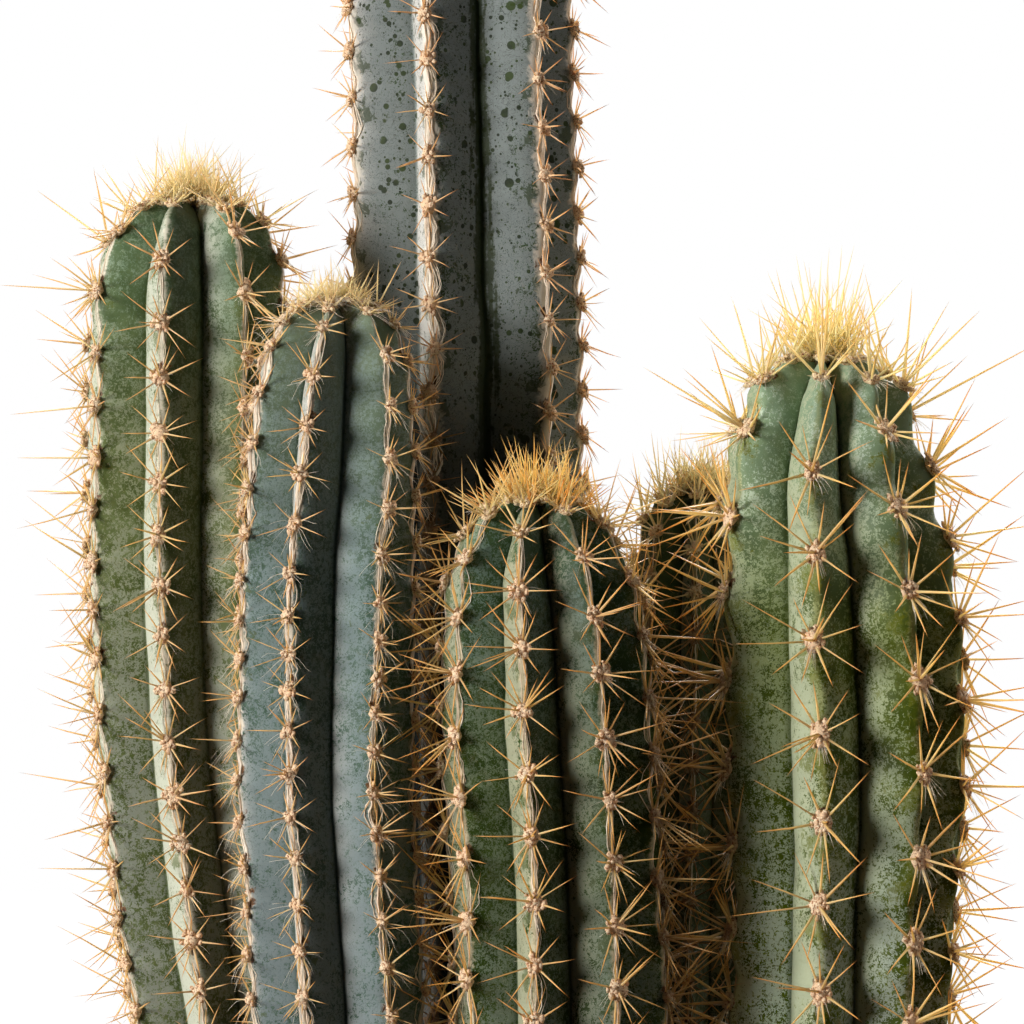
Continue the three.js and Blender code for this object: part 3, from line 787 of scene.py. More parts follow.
# Skin colours are linear. green/green2: bare skin; young: near the growing point; wax: the pale
# bloom; sun: painted highlight, a paler bloom on the flanks that face the key lamp; cover: how much bloom (young, old);
# crisp: how softly bloom and skin run into each other; grain: size of the flecks of bloom (1/m);
# dust, fresh: the bloom low down and near the growing point; spots: round dark spots; streak: how far the bloom is
# drawn out along the rib; lines: fine squiggles (share, colour); olive: the patches beside the areoles (share, colour).
SKINS = {
    "stem_left": dict(green=(0.088, 0.116, 0.030), green2=(0.160, 0.198, 0.072), young=(0.088, 0.150, 0.080),
                      wax=(0.290, 0.315, 0.190), sun=(0.500, 0.520, 0.420), dust=(0.300, 0.325, 0.270), fresh=(0.220, 0.300, 0.200),
                      cover=(0.38, 0.44), crisp=0.17, grain=1350.0, spots=0.0, streak=0.5,
                      lines=(0.20, (0.42, 0.45, 0.36)), olive=(0.50, (0.095, 0.125, 0.024)),
                      crest=(0.70, 0.64, 0.52), ridge=(0.8, 0.88)),
    "stem_left_front": dict(green=(0.054, 0.102, 0.068), green2=(0.100, 0.164, 0.124), young=(0.210, 0.260, 0.165),
                            wax=(0.205, 0.268, 0.265), sun=(0.480, 0.475, 0.440), dust=(0.205, 0.250, 0.255), fresh=(0.240, 0.310, 0.270),
                            cover=(0.40, 0.60), crisp=0.22, grain=1350.0, spots=0.0, streak=0.4,
                            lines=(0.35, (0.045, 0.072, 0.055)), olive=(0.35, (0.080, 0.115, 0.026)),
                            crest=(0.80, 0.72, 0.60), ridge=(0.9, 0.87)),
    "stem_tall": dict(green=(0.046, 0.078, 0.030), green2=(0.088, 0.126, 0.070), young=(0.111, 0.183, 0.128),
                      wax=(0.250, 0.284, 0.276), sun=(0.600, 0.590, 0.560), dust=(0.250, 0.284, 0.276), fresh=(0.250, 0.284, 0.276),
                      cover=(0.66, 0.80), crisp=0.10, grain=1200.0, spots=1.0, streak=0.35,
                      lines=(1.0, (0.045, 0.056, 0.042)), olive=(0.85, (0.034, 0.055, 0.008)),
                      crest=(0.80, 0.74, 0.64), ridge=(0.9, 0.82)),
    "stem_middle": dict(green=(0.032, 0.060, 0.006), green2=(0.062, 0.102, 0.018), young=(0.060, 0.120, 0.060),
                        wax=(0.175, 0.225, 0.135), sun=(0.330, 0.335, 0.225), dust=(0.180, 0.225, 0.185), fresh=(0.200, 0.290, 0.250),
                        cover=(0.36, 0.46), crisp=0.05, grain=1300.0, spots=0.0, streak=0.25,
                        lines=(0.80, (0.30, 0.35, 0.26)), olive=(0.70, (0.050, 0.074, 0.006)),
                        crest=(0.66, 0.56, 0.38), ridge=(0.7, 0.88)),
    "stem_right": dict(green=(0.050, 0.074, 0.004), green2=(0.092, 0.122, 0.010), young=(0.260, 0.370, 0.250), fresh=(0.410, 0.500, 0.400),
                       wax=(0.255, 0.305, 0.130), sun=(0.350, 0.385, 0.255), dust=(0.340, 0.395, 0.340),
                       cover=(0.32, 0.42), crisp=0.05, grain=1300.0, spots=0.0, streak=0.5,
                       lines=(0.45, (0.40, 0.46, 0.32)), olive=(0.60, (0.120, 0.140, 0.010)),
                       crest=(0.36, 0.36, 0.13), ridge=(0.3, 0.88)),
    "stem_back": dict(green=(0.033, 0.049, 0.015), green2=(0.061, 0.082, 0.033), young=(0.055, 0.085, 0.038),
                      wax=(0.123, 0.139, 0.098), sun=(0.222, 0.215, 0.155), dust=(0.150, 0.165, 0.125), fresh=(0.123, 0.139, 0.098),
                      cover=(0.30, 0.40), crisp=0.10, grain=1200.0, spots=0.0, streak=0.3,
                      lines=(0.20, (0.20, 0.22, 0.16)), olive=(0.50, (0.050, 0.060, 0.014)),
                      crest=(0.46, 0.38, 0.25), ridge=(0.6, 0.88)),
}


def skin_material(name):
    k = SKINS[name]
    m = Shader(name + "_skin", roughness=0.58, specular=0.14)
    crest, sun, near, fold = m.attribute("crest"), m.attribute("sun"), m.attribute("near"), m.attribute("fold")
    scab, patch, age, low = m.attribute("scab"), m.attribute("patch"), m.attribute("age"), m.attribute("low")
    tone, old, moss = m.attribute("tone"), m.attribute("old"), m.attribute("moss")
    broad = m.noise(34.0, 2.0, 0.55)
    mid = m.noise(125.0, 3.0, 0.6)
    fine = m.noise(k["grain"] * 0.38, 3.0, 0.62, distortion=0.8)
    micro = m.noise(k["grain"], 2.0, 0.62, distortion=1.2)
    streaks = m.noise(620.0, 2.0, 0.6, vector=m.stretched(1.0, 1.0, 0.07))

    # bare skin: two greens, bluer near the growing point, olive beside the areoles
    skin = m.mix(m.step(mid, 0.36, 0.66), k["green"], k["green2"])
    skin = m.mix(m.math("MULTIPLY", m.inv(age), 0.9), skin, k["young"])
    amount, olive_colour = k["olive"]
    olive = m.add(m.mul(near, 0.35 * amount), m.mul(patch, 0.95 * amount),
                  m.mul(m.math("SUBTRACT", mid, 0.5), 1.7), m.mul(m.math("SUBTRACT", fine, 0.5), 1.5))
    olive = m.mul(m.step(olive, 0.40, 0.58), m.step(age, 0.0, 0.5, 0.25, 1.0))
    skin = m.mix(olive, skin, olive_colour)

    # bloom, broken up into fine flecks
    # painted highlight: the flanks that face the key lamp get more bloom
    share = m.add(m.step(age, 0.0, 1.0, k["cover"][0], k["cover"][1]),
                  m.mul(sun, 0.38),
                  m.mul(m.math("SUBTRACT", mid, 0.5), 0.95),
                  m.mul(m.math("SUBTRACT", broad, 0.5), 0.9),
                  m.mul(m.math("SUBTRACT", streaks, 0.5), k["streak"]),
                  m.mul(patch, -0.20), m.mul(near, -0.12), m.mul(old, 0.12))
    grain = m.step(m.add(m.mul(micro, 0.62), m.mul(fine, 0.38)), 0.34, 0.66)
    edge = m.math("ADD", m.mul(m.inv(age), 0.26), k["crisp"])
    hidden = m.math("SUBTRACT", 1.0, share)
    cover = m.step(grain, m.math("SUBTRACT", hidden, edge), m.math("ADD", hidden, edge))
    bloom = m.mix(m.step(age, 1.0, 0.3), m.mix(m.mul(old, 0.85), k["wax"], k["dust"]), k["fresh"])
    # painted highlight: a paler bloom colour on the flanks that face the key lamp
    bloom = m.mix(m.step(sun, 0.25, 0.85), bloom, k["sun"])
    colour = m.mix(m.mul(cover, m.step(olive, 0.2, 1.0, 1.0, 0.30)), skin, bloom)

    # fine squiggles
    worm = m.noise(480.0, 1.0, 0.5, distortion=2.6)
    ridge = m.math("ABSOLUTE", m.math("SUBTRACT", worm, 0.5))
    zone = m.step(m.add(mid, m.mul(m.math("SUBTRACT", broad, 0.5), 0.6)), 0.56 - 0.22 * k["lines"][0], 0.62 - 0.16 * k["lines"][0])
    worms = m.mul(m.mul(m.step(ridge, 0.026, 0.008), zone), m.step(age, 0.05, 0.45))
    colour = m.mix(m.mul(worms, 0.30 + 0.45 * k["lines"][0]), colour, k["lines"][1])

    # round dark spots, crowding towards the grooves, the dark streak in the groove, and painted shade at the bottom of
    # every groove
    # deep: a shaded copy of the bare green, painted into the grooves and the folds as painted shade
    deep = (k["green"][0] * 0.55, k["green"][1] * 0.62, k["green"][2] * 0.45)
    if k["spots"]:
        marks = None
        for size, scale, keep in ((0.33, 230.0, 0.60), (0.33, 380.0, 0.64), (0.32, 700.0, 0.46)):
            dist, tint = m.cells(scale)
            r, g = m.red(tint)
            radius = m.step(g, 0.0, 1.0, size * 0.55, size)
            crowd = m.add(r, m.mul(m.step(crest, 0.75, 0.10), 0.42), m.mul(m.math("SUBTRACT", broad, 0.5), 0.9))
            there = m.step(crowd, 1.30 - keep, 1.34 - keep)
            one = m.mul(m.step(m.math("SUBTRACT", radius, dist), -0.01, 0.045), there)
            marks = one if marks is None else m.math("MAXIMUM", marks, one)
        colour = m.mix(m.mul(marks, 0.92), colour, m.mix(m.step(mid, 0.4, 0.6), (0.018, 0.028, 0.010), (0.045, 0.070, 0.016)))
        streak = m.step(m.add(crest, m.mul(m.math("SUBTRACT", streaks, 0.5), 0.55),
                              m.mul(m.math("SUBTRACT", fine, 0.5), 0.40)), 0.26, 0.12)
        colour = m.mix(m.mul(m.mul(streak, 0.85), moss), colour, (0.034, 0.048, 0.012))
    # painted shade: the bottom of every groove is darkened
    colour = m.mix(m.mul(m.step(crest, 0.13, 0.0, 0.0, 0.70), moss), colour, deep)

    # the crest line is dry and pale
    line = m.mul(m.step(m.add(crest, m.mul(m.math("SUBTRACT", fine, 0.5), 0.30)), k["ridge"][1], k["ridge"][1] + 0.10), k["ridge"][0])
    colour = m.mix(m.mul(line, m.step(age, 0.02, 0.25)), colour, k["crest"])

    # a faint fold across the rib, above each areole, painted as a darker line: painted shade
    at_fold = m.math("ABSOLUTE", m.math("SUBTRACT", m.add(fold, m.mul(m.math("SUBTRACT", mid, 0.5), 0.10)), 0.34))
    crease = m.mul(m.mul(m.step(at_fold, 0.030, 0.004), m.step(near, 0.25, 0.05)), m.step(crest, 0.40, 0.62))
    crease = m.mul(crease, m.step(age, 0.95, 0.35, 0.25, 1.0))
    colour = m.mix(m.mul(crease, 0.30), colour, deep)
    # painted light and shade: each flank made paler or darker
    colour = m.mix(1.0, colour, tone, blend="MULTIPLY")

    # dead tissue above some areoles, cork at the foot
    dead = m.step(m.add(scab, m.mul(m.math("SUBTRACT", fine, 0.5), 1.4)), 0.38, 0.62)
    colour = m.mix(dead, colour, m.mix(m.step(micro, 0.4, 0.6), (0.045, 0.018, 0.008), (0.17, 0.085, 0.035)))
    cork = m.step(m.add(low, m.mul(m.math("SUBTRACT", mid, 0.5), 1.6), m.mul(m.math("SUBTRACT", fine, 0.5), 0.5)), 0.42, 0.72)
    colour = m.mix(m.mul(cork, 0.8), colour, m.mix(m.step(fine, 0.35, 0.65), (0.20, 0.15, 0.085), (0.36, 0.29, 0.19)))
    m.colour(colour)
    m.rough(m.step(cover, 0.0, 1.0, 0.44, 0.64))
    m.bump(m.add(m.mul(fine, 0.8), m.mul(mid, 0.6)), 0.32, 0.0006)
    return m.mat


def spine_material():
    m = Shader("spines", roughness=0.36, specular=0.5)
    t, rnd, hue, young = m.attribute("t"), m.attribute("rnd"), m.attribute("hue"), m.attribute("young")
    dull, amber = m.attribute("dull"), m.attribute("amber")
    tan = m.ramp(t, [(0.0, (0.90, 0.62, 0.44)), (0.15, (1.0, 0.78, 0.56)), (0.50, (1.0, 0.70, 0.42)),
                     (0.82, (0.82, 0.45, 0.20)), (1.0, (0.42, 0.19, 0.07))])
    gold = m.ramp(t, [(0.0, (0.98, 0.74, 0.44)), (0.12, (1.0, 0.90, 0.58)), (0.50, (1.0, 0.82, 0.39)),
                      (0.84, (0.95, 0.62, 0.21)), (1.0, (0.66, 0.34, 0.10))])
    fresh = m.ramp(t, [(0.0, (1.0, 0.98, 0.78)), (0.5, (1.0, 0.96, 0.68)), (1.0, (1.0, 0.87, 0.50))])
    deep = m.ramp(t, [(0.0, (0.96, 0.62, 0.30)), (0.15, (1.0, 0.74, 0.34)), (0.55, (1.0, 0.62, 0.18)),
                      (0.86, (0.86, 0.42, 0.09)), (1.0, (0.50, 0.20, 0.04))])
    yolk = m.ramp(t, [(0.0, (1.0, 0.88, 0.44)), (0.5, (1.0, 0.87, 0.33)), (1.0, (1.0, 0.74, 0.21))])
    colour = m.mix(hue, tan, gold)
    colour = m.mix(young, m.mix(amber, colour, deep), m.mix(amber, fresh, yolk))
    colour = m.mix(m.step(rnd, 0.45, 1.0, 0.0, 0.22), colour, (0.74, 0.40, 0.15))
    # painted shade: spines that sit in the shade between the stems are darkened
    colour = m.mix(m.mul(dull, 0.85), colour, (0.27, 0.13, 0.05))
    m.colour(colour)
    m.glow(SPINE_GLOW)
    return m.mat


def felt_material():
    m = Shader("felt", roughness=0.9, specular=0.1)
    t, rnd, young = m.attribute("t"), m.attribute("rnd"), m.attribute("young")
    fine = m.noise(1900.0, 2.0, 0.7)
    cream = m.mix(rnd, (1.0, 0.84, 0.61), (1.0, 0.73, 0.48))
    cream = m.mix(young, cream, (1.0, 0.86, 0.54))
    # dark brown flecks: partly the felt's own brown fibres, partly painted shade between its tufts
    gap = m.step(m.add(fine, m.mul(rnd, 0.06)), 0.40, 0.53)
    felt = m.mix(gap, (0.46, 0.20, 0.09), cream)
    # painted shade: felt that sits in the shade between the stems is darkened
    m.colour(m.mix(m.mul(m.attribute("dull"), 0.85), felt, (0.24, 0.14, 0.08)))
    m.bump(fine, 0.6, 0.0005)
    m.glow(FELT_GLOW)
    return m.mat


def wool_material():
    m = Shader("wool", roughness=0.75, specular=0.25)
    rnd, white = m.attribute("rnd"), m.attribute("white")
    fibre = m.noise(1400.0, 2.0, 0.65, vector=m.stretched(1.0, 1.0, 0.25))
    cord = m.mix(rnd, (1.0, 0.93, 0.82), (1.0, 0.85, 0.70))
    cord = m.mix(m.step(fibre, 0.34, 0.50, 0.22, 0.0), cord, (0.66, 0.48, 0.32))
    m.colour(m.mix(white, cord, (1.0, 0.94, 0.84)))
    m.glow(WOOL_GLOW)
    return m.mat


def clay_material():
    m = Shader("clay", roughness=0.88, specular=0.2)
    broad, mid, fine = m.noise(14.0, 4.0, 0.6), m.noise(60.0, 5.0, 0.65), m.noise(700.0, 4.0, 0.7)
    rings = m.noise(240.0, 3.0, 0.6, vector=m.stretched(0.02, 0.02, 1.0))
    body = m.mix(m.step(mid, 0.35, 0.65), (0.36, 0.135, 0.065), (0.50, 0.215, 0.110))
    body = m.mix(m.step(rings, 0.4, 0.62, 0.0, 0.35), body, (0.56, 0.26, 0.14))
    salt = m.step(m.add(m.mul(broad, 0.6), m.mul(mid, 0.4), m.mul(fine, 0.15)), 0.60, 0.74)
    body = m.mix(m.mul(salt, 0.55), body, (0.70, 0.58, 0.48))
    grit = m.step(m.noise(1500.0, 2.0, 0.5), 0.62, 0.70)
    m.colour(m.mix(m.mul(grit, 0.5), body, (0.20, 0.07, 0.035)))
    m.bump(m.add(m.mul(fine, 0.5), m.mul(mid, 0.6), m.mul(rings, 0.8)), 0.4, 0.0008)
    return m.mat


def soil_material():
    m = Shader("soil", roughness=0.97, specular=0.12)
    mid, fine = m.noise(160.0, 5.0, 0.7), m.noise(900.0, 4.0, 0.75)
    colour = m.mix(m.step(m.add(m.mul(mid, 0.5), m.mul(fine, 0.5)), 0.38, 0.62), (0.018, 0.011, 0.007), (0.085, 0.052, 0.031))
    m.colour(colour)
    m.bump(m.add(mid, m.mul(fine, 0.8)), 1.0, 0.002)
    return m.mat


def grit_material():
    m = Shader("grit", roughness=0.9, specular=0.25)
    rnd, pale = m.attribute("rnd"), m.attribute("pale")
    fine = m.noise(1100.0, 3.0, 0.7)
    chip = m.ramp(rnd, [(0.0, (0.040, 0.024, 0.015)), (0.45, (0.11, 0.062, 0.034)), (0.75, (0.19, 0.13, 0.085)),
                        (1.0, (0.30, 0.23, 0.16))])
    chip = m.mix(m.step(fine, 0.35, 0.65, 0.35, 0.0), chip, (0.02, 0.012, 0.008))
    m.colour(m.mix(pale, chip, (0.74, 0.72, 0.67)))
    m.bump(fine, 0.8, 0.0006)
    return m.mat


SPINE, FELT, WOOL = spine_material(), felt_material(), wool_material()


# ---- skins ----------------------------------------------------------------------------
ACROSS = np.array([-1.0, -0.95, -0.86, -0.70, -0.52, -0.36, -0.22, -0.10,
                   0.0, 0.10, 0.22, 0.36, 0.52, 0.70, 0.86, 0.95])
# the side the key light comes from, for the painted highlight on the flanks that face it
PAINTED_LIGHT_AZ = math.radians(-70.0)
# Painted light and shade: some flanks are painted paler or darker than the rest of their stem, for the light they get.
# Stem: (rib, side, share of the skin's brightness at even steps down from the top of the view or the crown).
FLANK_LIGHT_AND_SHADE = {
    "stem_left": [(1, 1, 1.0, 0.62), (2, 1, 0.6, 0.65), (3, -1, 0.85, 0.9)],
    "stem_left_front": [(0, 1, 0.9, 0.65), (1, 1, 0.7, 0.7), (2, -1, 0.95, 0.95)],
    "stem_tall": [(0, 1, 0.64, 0.66), (1, 1, 0.9, 0.6), (2, -1, 1.0, 0.55)],
    "stem_middle": [(1, 1, 0.9, 0.85), (2, 1, 0.75, 0.75), (3, -1, 0.58, 0.72)],
    "stem_right": [(1, 1, 1.25, 1.05, 1.1, 2.1, 2.1), (2, 1, 1.45, 1.2), (3, -1, 1.0, 0.95)],
    "stem_back": [],
}


def row_places(stem):
    s, out = 0.0, [0.0]
    while s < stem.end - 0.9:
        z = np.interp(s, stem.S, stem.z)
        if s > stem.end - 34.0:
            s += 1.3
        elif SEEN_LOW - 12 < z < SEEN_HIGH + 8:
            s += 1.9
        else:
            s += 4.4
        out.append(min(s, stem.end - 0.6))
    return np.array(out)


def make_skin(stem):
    rows = row_places(stem)
    rib = np.repeat(np.arange(stem.n), len(ACROSS))
    w = np.tile(ACROSS, stem.n)
    grid = stem.at(rows[:, None], rib[None], w[None])
    nr, nc = grid.shape[:2]
    # direction each point faces, for the painted highlight on the flanks that face the key lamp
    across = np.roll(grid, -1, axis=1) - np.roll(grid, 1, axis=1)
    along = np.gradient(grid, axis=0)
    normal = unit(np.cross(across, along))
    facing = np.arctan2(normal[..., 0], -normal[..., 1])
    flat = np.hypot(normal[..., 0], normal[..., 1])
    sun = np.clip(np.cos(facing - PAINTED_LIGHT_AZ), 0, 1) ** 3.0 * flat
    s2 = np.broadcast_to(rows[:, None], (nr, nc)).ravel()
    r2 = np.broadcast_to(rib[None], (nr, nc)).ravel()
    u2 = np.broadcast_to(np.abs(w)[None], (nr, nc)).ravel()
    near = stem._rib(stem.near, s2, r2)
    lateral = u2 * stem.flank
    gap = stem.look["spacing"]
    z = grid[..., 2].ravel()
    # painted light and shade: how much paler or darker each flank is painted
    tone = np.ones(len(z))
    side = np.broadcast_to(w[None], (nr, nc)).ravel()
    top, span = min(z.max(), SEEN_HIGH), 160.0 if stem.name == "stem_tall" else 250.0
    down = np.clip((top - z) / span, 0, 1)
    for number, half, *shares in FLANK_LIGHT_AND_SHADE[stem.name]:
        there = (r2 == number) & (side * half > 0.02)
        tone[there] = np.interp(down[there], np.linspace(0, 1, len(shares)), shares)
    # painted shade: the tall stem's front flanks are painted darker low down, where the other stems shade them
    if stem.name == "stem_tall":     # darker down between the other stems
        between = (r2 <= 1) | ((r2 == 2) & (side < 0))
        tone = tone * np.where(between, 1.0 - 0.72 * smooth01((532.0 - z) / 32.0), 1.0)
    # how much painted shade darkens each groove: little in the groove between the tall stem's first two ribs
    moss = np.ones(len(z))
    if stem.name == "stem_tall":
        moss[((r2 == 0) & (side > 0)) | ((r2 == 1) & (side < 0))] = 0.12
    attributes = {
        "crest": 1.0 - u2,
        "sun": sun.ravel(),
        "near": np.exp(-(near / 3.4) ** 2 - (lateral / 3.4) ** 2),
        "patch": np.exp(-((near + 0.30 * gap) / (0.27 * gap)) ** 2 - (lateral / (0.30 * gap + 2.0)) ** 2),
        "scab": stem._rib(stem.scab, s2, r2) * np.exp(-((near - 2.6) / 1.9) ** 2 - (lateral / 2.4) ** 2),
        "fold": stem._rib(stem.above, s2, r2),
        "age": np.clip((stem.end - s2 - 8.0) / 85.0, 0, 1),
        "low": np.clip((285.0 - z) / 90.0, 0, 1),
        "tone": tone,
        "moss": moss,
        "old": np.clip((stem.end - s2 - 100.0) / 80.0, 0, 1),
    }
    verts = np.concatenate([grid.reshape(-1, 3),
                            [[stem.x[0], stem.y[0], stem.z[0]], [stem.x[-1], stem.y[-1], stem.z[-1]]]])
    for key, value in attributes.items():
        attributes[key] = np.concatenate([value, [value[:nc].mean(), value[-nc:].mean()]])
    j = np.arange(nc)
    k = (j + 1) % nc
    r = (np.arange(nr - 1) * nc)[:, None]
    quads = np.stack([r + j, r + k, r + nc + k, r + nc + j], axis=2).reshape(-1, 4)
    last = (nr - 1) * nc
    tris = np.concatenate([np.stack([np.full(nc, nr * nc), k, j], axis=1),
                           np.stack([np.full(nc, nr * nc + 1), last + j, last + k], axis=1)])
    obj = make_object(stem.name + "_skin", verts, [quads, tris], attributes, skin_material(stem.name))
    add_piece(obj, [stem.name])


# ---- areoles: felt, spines, hairs and the cords of wool along the crests ------------------
def pick(rng, span, n):
    return rng.uniform(span[0], span[1], n)


def areole_table(stem):
    ribs = np.concatenate([np.full(len(a), i) for i, a in enumerate(stem.areoles)])
    s = np.concatenate(stem.areoles)
    p, t, b, n = stem.frames(s, ribs)
    ok = p[:, 2] > SOIL + 5.0
    ribs, s, p, t, b, n = ribs[ok], s[ok], p[ok], t[ok], b[ok], n[ok]
    youth = np.clip(1.0 - (stem.end - s) / (1.9 * stem.look["spacing"]), 0.0, 1.0)
    return dict(rib=ribs, s=s, p=p, t=t, b=b, n=n, youth=youth, seen=stem.in_view(p, n))


def shade_paint_amount(stem, p, n):
    """How much painted shade darkens the spines and felt: most on the small stem at the back, and between the stems."""
    if stem.name == "stem_back":
        return 0.95 * smooth01((480.0 - p[:, 2]) / 30.0)
    if stem.name in ("stem_middle", "stem_right"):     # the sides that face the small one between them
        inward = n[:, 0] if stem.name == "stem_middle" else -n[:, 0]
        return 0.5 * smooth01((inward - 0.45) / 0.3) * smooth01((480.0 - p[:, 2]) / 40.0)
    if stem.name == "stem_tall":
        return 0.9 * smooth01((534.0 - p[:, 2]) / 30.0) * (n[:, 1] < 0.1) * (n[:, 0] < 0.3)
    return np.zeros(len(p))


# deeper gold: the share for the spines of the ribs and for those of the crown
AMBER = {"stem_middle": (0.35, 0.85), "stem_right": (0.30, 0.0)}


def make_spines(stem, tab):
    look, rng = stem.look, np.random.default_rng(stem.look["seed"] + 100)
    bag = Bag(("t", "rnd", "hue", "young", "dull", "amber"))
    for seen in (True, False):
        pickm = tab["seen"] == seen
        base, direction, length, radius, hue, young, dull = [], [], [], [], [], [], []
        for p, t, b, n, youth in zip(*(tab[k][pickm] for k in ("p", "t", "b", "n", "youth"))):
            nr = int(rng.integers(look["radial"][0], look["radial"][1] + 1)) - (0 if seen else 2)
            nc = int(rng.integers(look["central"][0], look["central"][1] + 1))
            if youth > 0.4:
                nr = max(4, nr - 2)
            lo, hi = (v * (1.0 + look.get("sideways", 0.0) * abs(n[0]) ** 1.5) for v in look["length"])
            turn = rng.uniform(0, 360.0 / nr)
            for i in range(nr):
                psi = math.radians(turn + 360.0 * (i + rng.uniform(-0.34, 0.34)) / nr)
                psi -= 0.16 * math.sin(2.0 * psi)          # fewer straight up and down the rib
                eps = math.radians(rng.uniform(8, 38))
                d = (math.cos(eps) * (math.cos(psi) * t + math.sin(psi) * b) + math.sin(eps) * n)
                d = d + youth * (0.7 * t + 0.5 * n)
                side = 0.80 + 0.28 * abs(math.sin(psi)) - 0.10 * max(0.0, math.cos(psi))
                base.append(p + look["felt"][0] * 0.30 * (math.cos(psi) * t * 1.2 + math.sin(psi) * b) + 0.2 * n)
                direction.append(d)
                length.append(rng.uniform(lo, hi) * side * (1 - 0.15 * youth))
                radius.append(look["thick"] * rng.uniform(0.75, 1.08) * (1 - 0.2 * youth))
            for i in range(nc):
                psi = rng.uniform(0, 2 * math.pi)
                eps = math.radians(rng.uniform(38, 80))
                d = (math.cos(eps) * (math.cos(psi) * t + math.sin(psi) * b) + math.sin(eps) * n)
                d = d + youth * 0.8 * t
                base.append(p + 0.4 * n)
                direction.append(d)
                reach = look["long"][0] + (look["long"][1] - look["long"][0]) * rng.beta(1.3, 1.8)
                length.append(reach * (1.0 + look.get("sideways", 0.0) * abs(n[0]) ** 1.5))
                radius.append(look["thick"] * rng.uniform(0.95, 1.22) * (1 - 0.2 * youth))
            m = nr + nc
            hue += [float(np.clip(look["tint"] + rng.uniform(-0.2, 0.2), 0, 1))] * m
            young += [youth] * m
            dull += [float(shade_paint_amount(stem, p[None], n[None])[0])] * m
        if not base:
            continue
        length, radius = np.array(length), np.array(radius)
        bend = rng.normal(size=(len(base), 3)) * (length * 0.026)[:, None]
        needles(bag, np.array(base), np.array(direction), length, radius, bend,
                4 if seen and stem.name != "stem_back" else 3, 3 if seen and stem.name == "stem_right" else 2, rng,
                blunt=0.62, hue=np.array(hue), young=np.array(young), dull=np.array(dull),
                amber=AMBER.get(stem.name, (0.0, 0.0))[0])
    # a few single long ones: places and lengths (mm), from the reference view
    for at, length, turn in LONG_ONES.get(stem.name, ()):
        k = int(np.argmin(np.linalg.norm(tab["p"][:, [0, 2]] - np.array(at)[None], axis=1)
                          + np.where(tab["n"][:, 1] < 0.5, 0.0, 50.0)))
        a = math.radians(turn)
        d = np.array([[math.cos(a), -0.12, math.sin(a)]])
        needles(bag, tab["p"][k:k + 1] + 0.4 * tab["n"][k:k + 1], d, np.array([length]),
                np.array([look["thick"] * 1.05]), np.zeros((1, 3)), 5, 4, rng, blunt=0.6,
                hue=float(look["tint"]), young=0.35)
    return bag


# x and z of the areole (mm), length, and direction in the front view (degrees up from +X)
LONG_ONES = {
    "stem_left": [((-110.5, 564.0), 25.0, 144.0), ((-115.0, 549.0), 27.5, 177.0), ((-115.5, 516.0), 24.0, 186.0),
                  ((-115.0, 501.0), 22.0, 180.0), ((-73.0, 566.0), 17.0, 38.0)],
    "stem_left_front": [((-67.0, 532.0), 15.0, 172.0), ((-37.0, 542.0), 15.0, 62.0)],
    "stem_middle": [((6.0, 482.0), 20.0, 118.0), ((27.0, 486.0), 22.0, 22.0), ((-10.0, 486.0), 20.0, 150.0)],
    "stem_right": [((64.0, 511.0), 33.5, 149.0), ((107.0, 511.0), 41.0, 28.0), ((107.0, 522.0), 30.0, 44.0),
                   ((118.0, 483.0), 24.0, 8.0), ((60.0, 487.0), 23.0, 176.0)],
}


def crown_tuft(stem, bag, count, lengths, radius, reach, fan, young, edge=0.2, untidy=0.0, floss=0, floss_length=(5.0, 10.0)):
    """The spines that crowd round the growing point. reach: how far down the crown they start."""
    rng = np.random.default_rng(stem.look["seed"] + 200)
    up = np.array([0.0, 0.0, 1.0])
    tip = np.array([np.interp(stem.end - 1, stem.S, stem.x), np.interp(stem.end - 1, stem.S, stem.y), 0.0])
    layers = [(count, lengths, radius, reach, 1.0, untidy, 4, 3)]
    if floss:
        layers.append((floss, floss_length, radius * 0.62, reach * 0.62, 0.75, untidy + 0.10, 3, 2))
    for number, span, thick, spread, open_, loose, sides, segments in layers:
        rib = rng.integers(0, stem.n, number)
        down = spread * rng.uniform(0.02, 1.0, number) ** 1.1
        s = stem.end - 0.8 - down
        w = rng.normal(0, 0.22, number)
        p, t, b, n = stem.frames(s, rib, np.clip(w, -0.7, 0.7))
        out = p - tip
        out[:, 2] = 0.0
        out = out / max(reach, 1.0)
        d = (up[None] * rng.uniform(0.8, 1.25, (number, 1)) + out * fan * open_
             + rng.normal(0, 0.17 + loose, (number, 3)) + 0.15 * n)
        length = span[0] + (span[1] - span[0]) * rng.beta(1.3, 1.7, number)
        lean = np.clip(np.linalg.norm(out, axis=1), 0, 1)
        length = length * (1.0 - 0.22 * lean)
        bend = rng.normal(size=(number, 3)) * (length * (0.03 + 0.28 * loose))[:, None]
        fresh = young * (1 - lean) + edge * lean + rng.normal(0, 0.12, number)
        needles(bag, p - 0.4 * n, d, length, thick * rng.uniform(0.7, 1.15, number), bend, sides, segments, rng,
                blunt=0.6, hue=float(np.clip(stem.look["tint"], 0, 1)), young=np.clip(fresh, 0, 1),
                dull=0.0, amber=AMBER.get(stem.name, (0.0, 0.0))[1])


